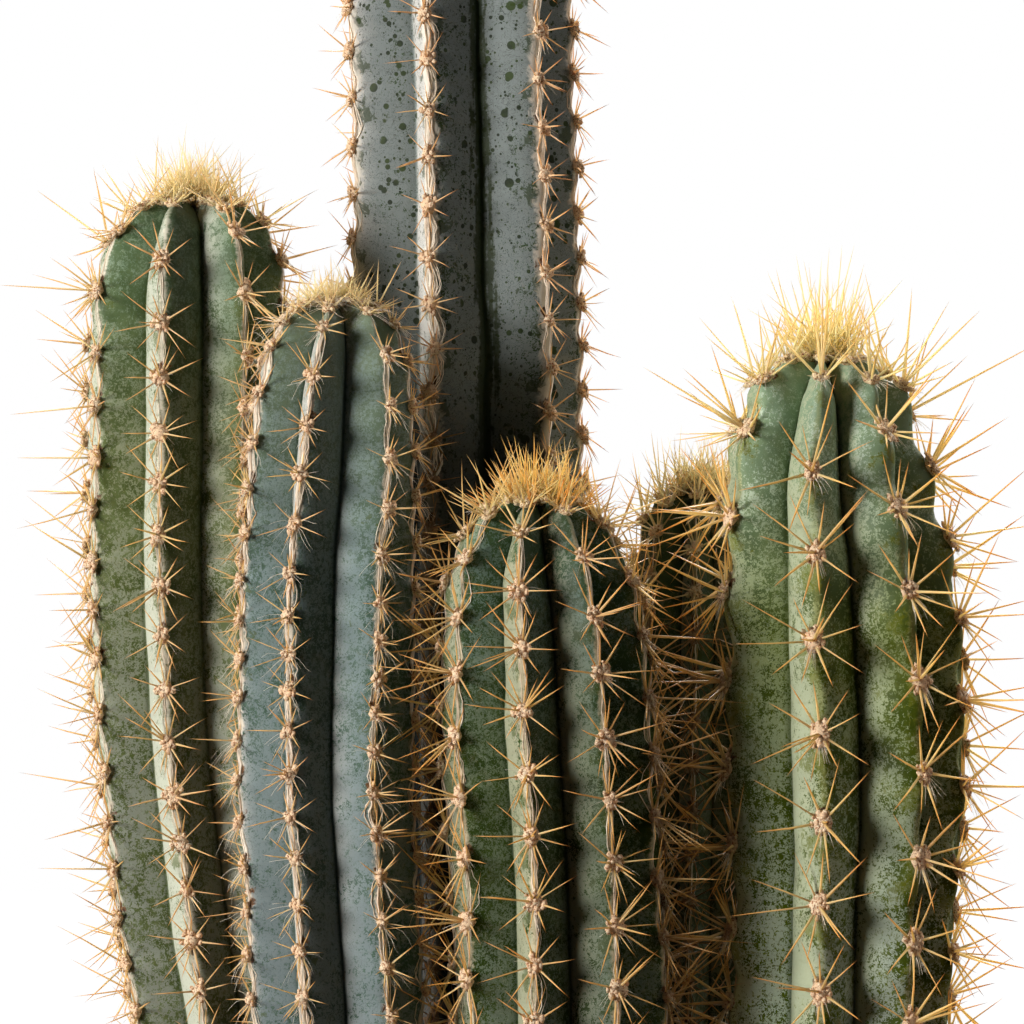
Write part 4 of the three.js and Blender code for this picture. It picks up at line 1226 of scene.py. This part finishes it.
def make_felt(stem, tab):
    look, rng = stem.look, np.random.default_rng(stem.look["seed"] + 300)
    bag = Bag(("t", "rnd", "young", "dull"))
    wide, tall = look["felt"]
    big = stem.name == "stem_right"
    small, wisps = {"stem_left": (11, 6), "stem_left_front": (10, 6), "stem_tall": (9, 5), "stem_middle": (13, 6),
                    "stem_back": (7, 3), "stem_right": (17, 10)}[stem.name]
    for seen in (True, False):
        m = tab["seen"] == seen
        p, t, b, n, youth = (tab[k][m] for k in ("p", "t", "b", "n", "youth"))
        if not len(p):
            continue
        count = len(p)
        size = rng.uniform(0.85, 1.15, count) * (1 - 0.25 * youth)
        axes = np.stack([b, t, n], axis=1)
        core = np.stack([wide * 0.92 * size, tall * 0.92 * size, 1.6 * size], axis=1)
        dull = shade_paint_amount(stem, p, n)
        lumps(bag, p + 0.35 * n, core, axes, 0, rng, 0.16, young=youth, dull=dull)
        k = small if seen else (1 if stem.name in ("stem_tall", "stem_back") else 2)
        idx = np.repeat(np.arange(count), k)
        ang = rng.uniform(0, 2 * math.pi, len(idx))
        rad = rng.uniform(0.15, 1.0, len(idx)) ** 0.7
        x, y = np.cos(ang) * rad * wide * size[idx], np.sin(ang) * rad * tall * size[idx]
        height = 1.65 * (1 - 0.66 * rad ** 2)
        centre = p[idx] + b[idx] * x[:, None] + t[idx] * y[:, None] + n[idx] * height[:, None]
        r = rng.uniform(0.50, 0.98, len(idx)) * (1.0 if seen else 1.7)
        sz = np.stack([r, r * rng.uniform(0.9, 1.6, len(idx)), r * 0.85], axis=1)
        lumps(bag, centre, sz, axes[idx], 0, rng, 0.34 if big else 0.26, young=youth[idx], dull=dull[idx])
        if seen:  # wisps of felt running out along the spines
            k = wisps
            idx = np.repeat(np.arange(count), k)
            psi = rng.uniform(0, 2 * math.pi, len(idx))
            eps = np.radians(rng.uniform(5, 60, len(idx)))
            d = ((np.cos(eps) * np.cos(psi))[:, None] * t[idx] + (np.cos(eps) * np.sin(psi))[:, None] * b[idx]
                 + np.sin(eps)[:, None] * n[idx])
            start = p[idx] + d * (0.55 * wide * size[idx])[:, None]
            needles(bag, start, d, rng.uniform(1.2, 2.6, len(idx)) * (1.3 if big else 1.0),
                    rng.uniform(0.10, 0.22, len(idx)), rng.normal(0, 0.25, (len(idx), 3)), 3, 1, rng,
                    young=youth[idx], dull=dull[idx])
    # a cushion of felt over the growing point
    rng = np.random.default_rng(stem.look["seed"] + 400)
    count = 46
    rib = rng.integers(0, stem.n, count)
    s = stem.end - 0.6 - 8.5 * rng.uniform(0, 1, count)
    p, t, b, n = stem.frames(s, rib, rng.normal(0, 0.2, count))
    r = rng.uniform(0.6, 1.5, count)
    lumps(bag, p + 0.2 * n, np.stack([r, r, r * 0.9], axis=1), np.stack([b, t, n], axis=1), 0, rng, 0.3, young=0.85)
    return bag


def cord_strands(stem, tab_rib, s0, s1, side, amp, strands, radius, seen, rng, bag):
    """Wool that runs from one areole to the next along a crest."""
    m = 8 if seen else 4
    f = np.linspace(0.0, 1.0, m)
    n = len(s0)
    paths, radii = [], []
    for k in range(strands if seen else 1):
        spread = rng.normal(0, 0.35 + 1.7 * radius, (n, 1))
        sway = side[:, None] * amp * rng.uniform(0.6, 1.25, (n, 1)) * np.sin(np.pi * f)[None]
        lat = sway + spread * (0.3 + 0.9 * np.sin(np.pi * f)[None]) * (1.0 if seen else 0.3)
        lat = lat + 0.22 * rng.normal(size=(n, m))
        s = s0[:, None] + (s1 - s0)[:, None] * f[None]
        lift = radius * rng.uniform(0.1, 0.6, (n, 1)) + rng.uniform(0.0, 0.22, (n, 1)) * np.sin(np.pi * f)[None]
        w = lat / stem.flank
        path = stem.at(s, tab_rib[:, None], w, lift)
        paths.append(path)
        r = radius * (0.30 + 0.45 * rng.beta(1.2, 2.2, (n, 1))) * (0.85 + 0.35 * rng.uniform(-1, 1, (n, m)))
        r = r * (1.0 if seen else 2.6)
        radii.append(r)
    white = np.tile(rng.uniform(0, 0.5, n), strands if seen else 1)
    tubes(bag, np.concatenate(paths), np.concatenate(radii), 3, rng, white=white)


def make_wool(stem, tab):
    look, rng = stem.look, np.random.default_rng(stem.look["seed"] + 500)
    bag = Bag(("t", "rnd", "white"))
    strands, radius, amp = look["cords"]
    if strands:
        for rib in range(stem.n):
            a = stem.areoles[rib]
            a = a[(a > stem.s_of_z(SOIL + 6)) & (a < stem.end - 16.0)]
            if stem.name == "stem_tall" and rib <= 1:
                a = a[a > stem.s_of_z(492.0)]
            if len(a) < 2:
                continue
            p, t, b, n = stem.frames(a[:-1], rib)
            seen = stem.in_view(p, n)
            side = np.where(rng.uniform(0, 1, len(a) - 1) < 0.5, -1.0, 1.0)
            here = amp
            thick = radius
            if stem.name == "stem_tall" and rib == 2:
                side[:] = 1.0
                here, thick = 2.4, radius * 1.25
            if stem.name == "stem_tall" and rib == 1:
                side[:] = 1.0
                here, thick = 0.7, radius * 1.1
            if stem.name == "stem_left_front" and rib in (0, 1):
                side[:] = -1.0
                here, thick = 0.5, radius * 1.2
            if stem.name == "stem_left" and rib == 2:
                side[:] = -1.0
            if stem.name == "stem_middle" and rib in (2, 3):
                side[:] = 1.0
            for flag in (True, False):
                m = seen == flag
                if m.any():
                    few = 4 if (stem.name, rib) == ("stem_left_front", 2) else strands
                    cord_strands(stem, np.full(int(m.sum()), rib), a[:-1][m], a[1:][m], side[m], here, few,
                                 thick, flag, rng, bag)
    per, reach, fine = look["hairs"]
    right = stem.name == "stem_right"
    curly = stem.name == "stem_left_front"
    for seen in (True, False):
        m = (tab["seen"] == seen) & (tab["youth"] < 0.9)
        k = per if seen else (1 if right or curly else 0)
        if not m.any() or not k:
            continue
        idx = np.repeat(np.where(m)[0], k)
        p, t, b, n = (tab[key][idx] for key in ("p", "t", "b", "n"))
        c = len(idx)
        steps = 6 if seen else 4
        f = np.linspace(0, 1, steps)[None, :, None]
        length = reach * rng.uniform(0.55, 1.2, c)
        if right:
            psi = rng.normal(0.25, 0.42, c)
            eps = rng.uniform(0.05, 0.5, c)
        else:
            psi = rng.normal(0, 1.0, c)
            eps = rng.uniform(0.05, 0.8, c)
        d = ((-np.cos(psi) * np.cos(eps))[:, None] * t + (np.sin(psi) * np.cos(eps))[:, None] * b + np.sin(eps)[:, None] * n)
        sag = np.array([0.0, 0.0, -1.0])[None] * (length * 0.30)[:, None]
        path = p[:, None, :] + 0.4 * n[:, None, :] + d[:, None, :] * length[:, None, None] * f + sag[:, None, :] * f ** 2
        curl = (1.0 if curly else 0.35)
        side, up = frame_around(unit(d), rng.uniform(0, 6.28, c))
        wave = rng.uniform(3.0, 7.5, c)[:, None, None]
        ph = rng.uniform(0, 6.28, c)[:, None, None]
        path = path + curl * f * (np.sin(wave * f + ph) - np.sin(ph)) * side[:, None, :] * rng.uniform(0.3, 1.1, c)[:, None, None]
        path = path + curl * f * (np.cos(wave * 0.8 * f + ph) - np.cos(ph)) * up[:, None, :] * rng.uniform(0.2, 0.8, c)[:, None, None]
        rad = fine * rng.uniform(0.8, 1.4, (c, 1)) * (1 - 0.55 * np.linspace(0, 1, steps)[None])
        tubes(bag, path, rad, 3, rng, white=rng.uniform(0.45, 1.0, c))
    return bag


TUFTS = {
    "stem_left": dict(count=90, lengths=(8.0, 23.0), radius=0.24, reach=10.0, fan=0.95, young=1.0, edge=0.45,
                      untidy=0.04, floss=300, floss_length=(9.0, 19.0)),
    "stem_left_front": dict(count=85, lengths=(5.0, 15.0), radius=0.22, reach=12.0, fan=1.3, young=0.9, edge=0.55,
                            untidy=0.20, floss=110, floss_length=(4.0, 9.0)),
    "stem_tall": dict(count=90, lengths=(5.0, 14.0), radius=0.24, reach=12.0, fan=1.2, young=0.8, edge=0.3,
                      untidy=0.10, floss=90, floss_length=(4.0, 9.0)),
    "stem_middle": dict(count=130, lengths=(9.0, 23.0), radius=0.35, reach=13.0, fan=1.25, young=0.9, edge=0.0,
                        untidy=0.02, floss=20, floss_length=(8.0, 15.0)),
    "stem_right": dict(count=48, lengths=(14.0, 40.0), radius=0.36, reach=7.0, fan=0.62, young=0.95, edge=0.7,
                       untidy=0.01, floss=14, floss_length=(7.0, 15.0)),
    "stem_back": dict(count=55, lengths=(4.0, 10.0), radius=0.24, reach=12.0, fan=1.2, young=0.3, edge=0.0,
                      untidy=0.10),
}

for stem in STEM.values():
    make_skin(stem)
    table = areole_table(stem)
    spines = make_spines(stem, table)
    crown_tuft(stem, spines, **TUFTS[stem.name])
    add_piece(spines.make(stem.name + "_spines", SPINE))
    add_piece(make_felt(stem, table).make(stem.name + "_areoles", FELT))
    add_piece(make_wool(stem, table).make(stem.name + "_wool", WOOL))


# ---- pot and soil -------------------------------------------------------------------------
def lathe(profile, segments, wobble=None):
    """A closed turned body from [radius, z] pairs that start and end on the axis."""
    inner = np.array(profile[1:-1], float)
    ang = np.arange(segments) * 2 * math.pi / segments
    r = np.broadcast_to(inner[:, 0:1], (len(inner), segments)).copy()
    z = np.broadcast_to(inner[:, 1:2], (len(inner), segments)).copy()
    if wobble is not None:
        dr, dz = wobble(inner[:, 0:1], inner[:, 1:2], ang[None])
        r, z = r + dr, z + dz
    ring = np.stack([r * np.cos(ang), r * np.sin(ang), z], axis=2)
    nr, nc = ring.shape[:2]
    verts = np.concatenate([ring.reshape(-1, 3), [[0, 0, profile[0][1]], [0, 0, profile[-1][1]]]])
    j = np.arange(nc)
    k = (j + 1) % nc
    row = (np.arange(nr - 1) * nc)[:, None]
    quads = np.stack([row + j, row + k, row + nc + k, row + nc + j], axis=2).reshape(-1, 4)
    last = (nr - 1) * nc
    tris = np.concatenate([np.stack([np.full(nc, nr * nc), k, j], axis=1),
                           np.stack([np.full(nc, nr * nc + 1), last + j, last + k], axis=1)])
    return verts, [quads, tris]


def rounded(profile, radii, steps=5):
    """The profile with each corner rounded by its own radius (mm)."""
    pts = [np.array(p, float) for p in profile]
    out = [tuple(pts[0])]
    for i in range(1, len(pts) - 1):
        r = radii[i]
        if r <= 0:
            out.append(tuple(pts[i]))
            continue
        a, b = pts[i - 1] - pts[i], pts[i + 1] - pts[i]
        la, lb = np.linalg.norm(a), np.linalg.norm(b)
        cut = min(r, 0.45 * la, 0.45 * lb)
        p0, p2 = pts[i] + a / la * cut, pts[i] + b / lb * cut
        for t in np.linspace(0, 1, steps):
            q = (1 - t) ** 2 * p0 + 2 * t * (1 - t) * pts[i] + t * t * p2
            out.append(tuple(q))
    out.append(tuple(pts[-1]))
    return out


def dense(profile, step):
    out = [profile[0]]
    for a, b in zip(profile[:-1], profile[1:]):
        n = max(1, int(math.hypot(b[0] - a[0], b[1] - a[1]) / step))
        for i in range(1, n + 1):
            out.append((a[0] + (b[0] - a[0]) * i / n, a[1] + (b[1] - a[1]) * i / n))
    return out


pot_profile = [(0, 0), (92, 0), (94.5, 3), (129, 168), (133.5, 170), (135, 172.5), (140, 211), (139, 215),
               (133, 215), (130.5, 212), (84, 14), (81, 12), (0, 12)]
pot_radii = [0, 2, 3, 2, 1.5, 3, 4, 4, 3, 3, 3, 3, 0]
pot_line = dense(rounded(pot_profile, pot_radii), 9.0)


def thrown(r, z, a):
    """Slight unevenness of a clay pot, fading out at the flat underside."""
    on = smooth01((z - 1.0) / 12.0) * smooth01((r - 70.0) / 12.0)
    dr = (0.28 * np.sin(2 * a + 0.6) + 0.16 * np.sin(3 * a + 0.02 * z) + 0.10 * np.sin(z / 3.3)
          + 0.10 * np.sin(z / 7.1 + 2.0 * a))
    return on * (dr - 0.45), np.zeros_like(r * a)


verts, faces = lathe(pot_line, 120, thrown)
pot = make_object("clay_pot", verts, faces, material=clay_material())
for k, angle in enumerate((30.0, 150.0, 270.0)):
    a = math.radians(angle)
    n = 28
    ring = np.stack([6.0 * np.cos(np.arange(n) * 2 * math.pi / n), 6.0 * np.sin(np.arange(n) * 2 * math.pi / n)], axis=1)
    x, y = 55.0 * math.cos(a), 55.0 * math.sin(a)
    tool = np.concatenate([np.column_stack([ring[:, 0] + x, ring[:, 1] + y, np.full(n, zz)]) for zz in (-3.0, 16.0)]
                          + [[[x, y, -3.0], [x, y, 16.0]]])
    j = np.arange(n)
    q = (j + 1) % n
    cutter = make_object("cutter_%d" % k, tool,
                         [np.stack([j, q, n + q, n + j], axis=1),
                          np.concatenate([np.stack([np.full(n, 2 * n), q, j], axis=1),
                                          np.stack([np.full(n, 2 * n + 1), n + j, n + q], axis=1)])], smooth=False)
    cut = pot.modifiers.new("drain", "BOOLEAN")
    cut.operation, cut.solver, cut.object = "DIFFERENCE", "EXACT", cutter
    bpy.context.view_layer.update()
    done = bpy.data.meshes.new_from_object(pot.evaluated_get(bpy.context.evaluated_depsgraph_get()))
    pot.modifiers.clear()
    pot.data = done
    bpy.data.objects.remove(cutter, do_unlink=True)
pot.data.name = "clay_pot"
add_piece(pot, ["pot"])

soil_rng = np.random.default_rng(77)
FEET = [(s.x[0], s.y[0], s.r[0]) for s in STEM.values()]
waves = [(soil_rng.uniform(0.03, 0.42), soil_rng.uniform(0, 6.28), soil_rng.uniform(0, 6.28)) for _ in range(26)]


def soil_height(x, y):
    """Height of the soil's surface: uneven, banked up a little against the stems."""
    h = np.zeros_like(x)
    for k, d, ph in waves:
        h = h + 0.42 * (0.25 / (k + 0.12)) ** 0.8 * 0.5 * np.sin(k * (x * math.cos(d) + y * math.sin(d)) + ph)
    for fx, fy, fr in FEET:
        d = np.hypot(x - fx, y - fy) - fr
        h = h + 1.3 * np.exp(-(np.maximum(d, 0) / 7.0) ** 2)
    edge = np.clip((np.hypot(x, y) - 112.0) / 13.0, 0, 1)
    return SOIL + h * (1 - edge) - 0.6 - 0.8 * edge


nr, nc = 50, 150
rr = np.linspace(0.0, 1.0, nr + 1)[1:] * 125.2
aa = np.arange(nc) * 2 * math.pi / nc
gx, gy = rr[:, None] * np.cos(aa), rr[:, None] * np.sin(aa)
gz = soil_height(gx, gy)
top_rows = np.stack([gx, gy, gz], axis=2)[::-1]                     # rim inwards
wall = np.stack([np.stack([r * np.cos(aa), r * np.sin(aa), np.full(nc, z)], axis=1)
                 for r, z in ((79.5, 12.5), (83.6, 15.4), (104.5, 104.0))])
rings = np.concatenate([wall, top_rows])
m = len(rings)
verts = np.concatenate([rings.reshape(-1, 3), [[0, 0, 12.5], [0, 0, float(soil_height(np.zeros(1), np.zeros(1))[0])]]])
j = np.arange(nc)
k = (j + 1) % nc
row = (np.arange(m - 1) * nc)[:, None]
quads = np.stack([row + j, row + k, row + nc + k, row + nc + j], axis=2).reshape(-1, 4)
last = (m - 1) * nc
tris = np.concatenate([np.stack([np.full(nc, m * nc), k, j], axis=1),
                       np.stack([np.full(nc, m * nc + 1), last + j, last + k], axis=1)])
add_piece(make_object("potting_soil", verts, [quads, tris], material=soil_material()), ["soil"])

grit = Bag(("t", "rnd", "pale"))
for count, span, pale, level in ((900, (1.0, 2.8), 0.0, 0), (90, (1.2, 2.7), 1.0, 1)):
    a = soil_rng.uniform(0, 2 * math.pi, count * 3)
    r = 123.0 * np.sqrt(soil_rng.uniform(0, 1, count * 3))
    x, y = r * np.cos(a), r * np.sin(a)
    clear = np.ones(len(x), bool)
    for fx, fy, fr in FEET:
        clear &= np.hypot(x - fx, y - fy) > fr * 0.92
    x, y = x[clear][:count], y[clear][:count]
    n = len(x)
    size = span[0] + (span[1] - span[0]) * soil_rng.beta(1.3, 3.0, n)
    turn = np.linalg.qr(soil_rng.normal(size=(n, 3, 3)))[0]
    shape = size[:, None] * soil_rng.uniform(0.45, 1.25, (n, 3))
    lumps(grit, np.stack([x, y, soil_height(x, y) + size * 0.25], axis=1), shape, turn, level, soil_rng, 0.28, pale=pale)
add_piece(grit.make("soil_grit", grit_material(), smooth=False))

# ---- floor, world and lights -----------------------------------------------------------------
n = 96
ang = np.arange(n) * 2 * math.pi / n
radii = (350.0, 900.0, 2200.0, 9000.0)
verts = np.concatenate([np.stack([r * np.cos(ang), r * np.sin(ang), np.zeros(n)], axis=1) for r in radii] + [[[0, 0, 0]]])
j = np.arange(n)
k = (j + 1) % n
quads = np.concatenate([np.stack([i * n + j, (i + 1) * n + j, (i + 1) * n + k, i * n + k], axis=1) for i in range(3)])
tris = np.stack([np.full(n, 4 * n), j, k], axis=1)
shade = Shader("floor", roughness=0.9, specular=0.1)
shade.colour((0.86, 0.86, 0.85))
spread = shade.new("ShaderNodeVectorMath", operation="LENGTH")
shade.put(shade.coords, spread.inputs[0])
glow = shade.step(spread.outputs["Value"], 0.25, 2.6)
shade.put((1.0, 1.0, 1.0), shade.bsdf.inputs["Emission Color"])
shade.put(shade.step(glow, 0.0, 1.0, 0.30, 1.0), shade.bsdf.inputs["Emission Strength"])
floor = make_object("floor", verts, [quads, tris], material=shade.mat)
floor.visible_diffuse = False
floor.visible_glossy = False
floor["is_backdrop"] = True

world = bpy.data.worlds.new("world")
SCENE.world = world
world.use_nodes = True
tree = world.node_tree
tree.nodes.clear()
out = tree.nodes.new("ShaderNodeOutputWorld")
both = tree.nodes.new("ShaderNodeMixShader")
path = tree.nodes.new("ShaderNodeLightPath")
fill = tree.nodes.new("ShaderNodeBackground")
fill.inputs["Color"].default_value = (0.97, 0.98, 1.0, 1.0)
fill.inputs["Strength"].default_value = 0.03
white = tree.nodes.new("ShaderNodeBackground")
white.inputs["Color"].default_value = (1.0, 1.0, 1.0, 1.0)
white.inputs["Strength"].default_value = 1.0
tree.links.new(path.outputs["Is Camera Ray"], both.inputs[0])
tree.links.new(fill.outputs[0], both.inputs[1])
tree.links.new(white.outputs[0], both.inputs[2])
tree.links.new(both.outputs[0], out.inputs["Surface"])


def lamp(name, azimuth, elevation, distance, size, level, colour=(1.0, 1.0, 1.0), aim=(0.0, 0.0, 450.0)):
    """An area lamp that gives a white surface facing it the brightness 'level'."""
    a, e = math.radians(azimuth), math.radians(elevation)
    data = bpy.data.lights.new(name, "AREA")
    data.shape = "DISK"
    data.size = size / 1000.0
    data.energy = level * (math.pi * distance / 1000.0) ** 2
    data.color = colour
    obj = bpy.data.objects.new(name, data)
    direction = np.array([math.sin(a) * math.cos(e), -math.cos(a) * math.cos(e), math.sin(e)])
    from mathutils import Vector
    obj.location = Vector((np.array(aim) + direction * distance) / 1000.0)
    obj.rotation_euler = (-Vector(direction)).to_track_quat("-Z", "Y").to_euler()
    SCENE.collection.objects.link(obj)
    return obj


lamp("key", -58.0, 13.0, 2400.0, 900.0, 1.50, (1.0, 0.985, 0.955))
lamp("fill_right", 76.0, 15.0, 2400.0, 1400.0, 0.14, (1.0, 0.98, 0.95))
lamp("back_right", 128.0, 26.0, 2400.0, 1200.0, 0.60, (1.0, 0.99, 0.97))
lamp("back", 176.0, 40.0, 2600.0, 1500.0, 1.9, (1.0, 0.99, 0.97))

SCENE.view_settings.view_transform = "Standard"
SCENE.view_settings.look = "None"
SCENE.view_settings.exposure = 0.0
SCENE.view_settings.gamma = 1.0

total = 0
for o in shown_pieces():
    o.data.calc_loop_triangles()
    total += len(o.data.loop_triangles)
    print("PIECE", o.name, len(o.data.loop_triangles))
print("TRIANGLES", total)
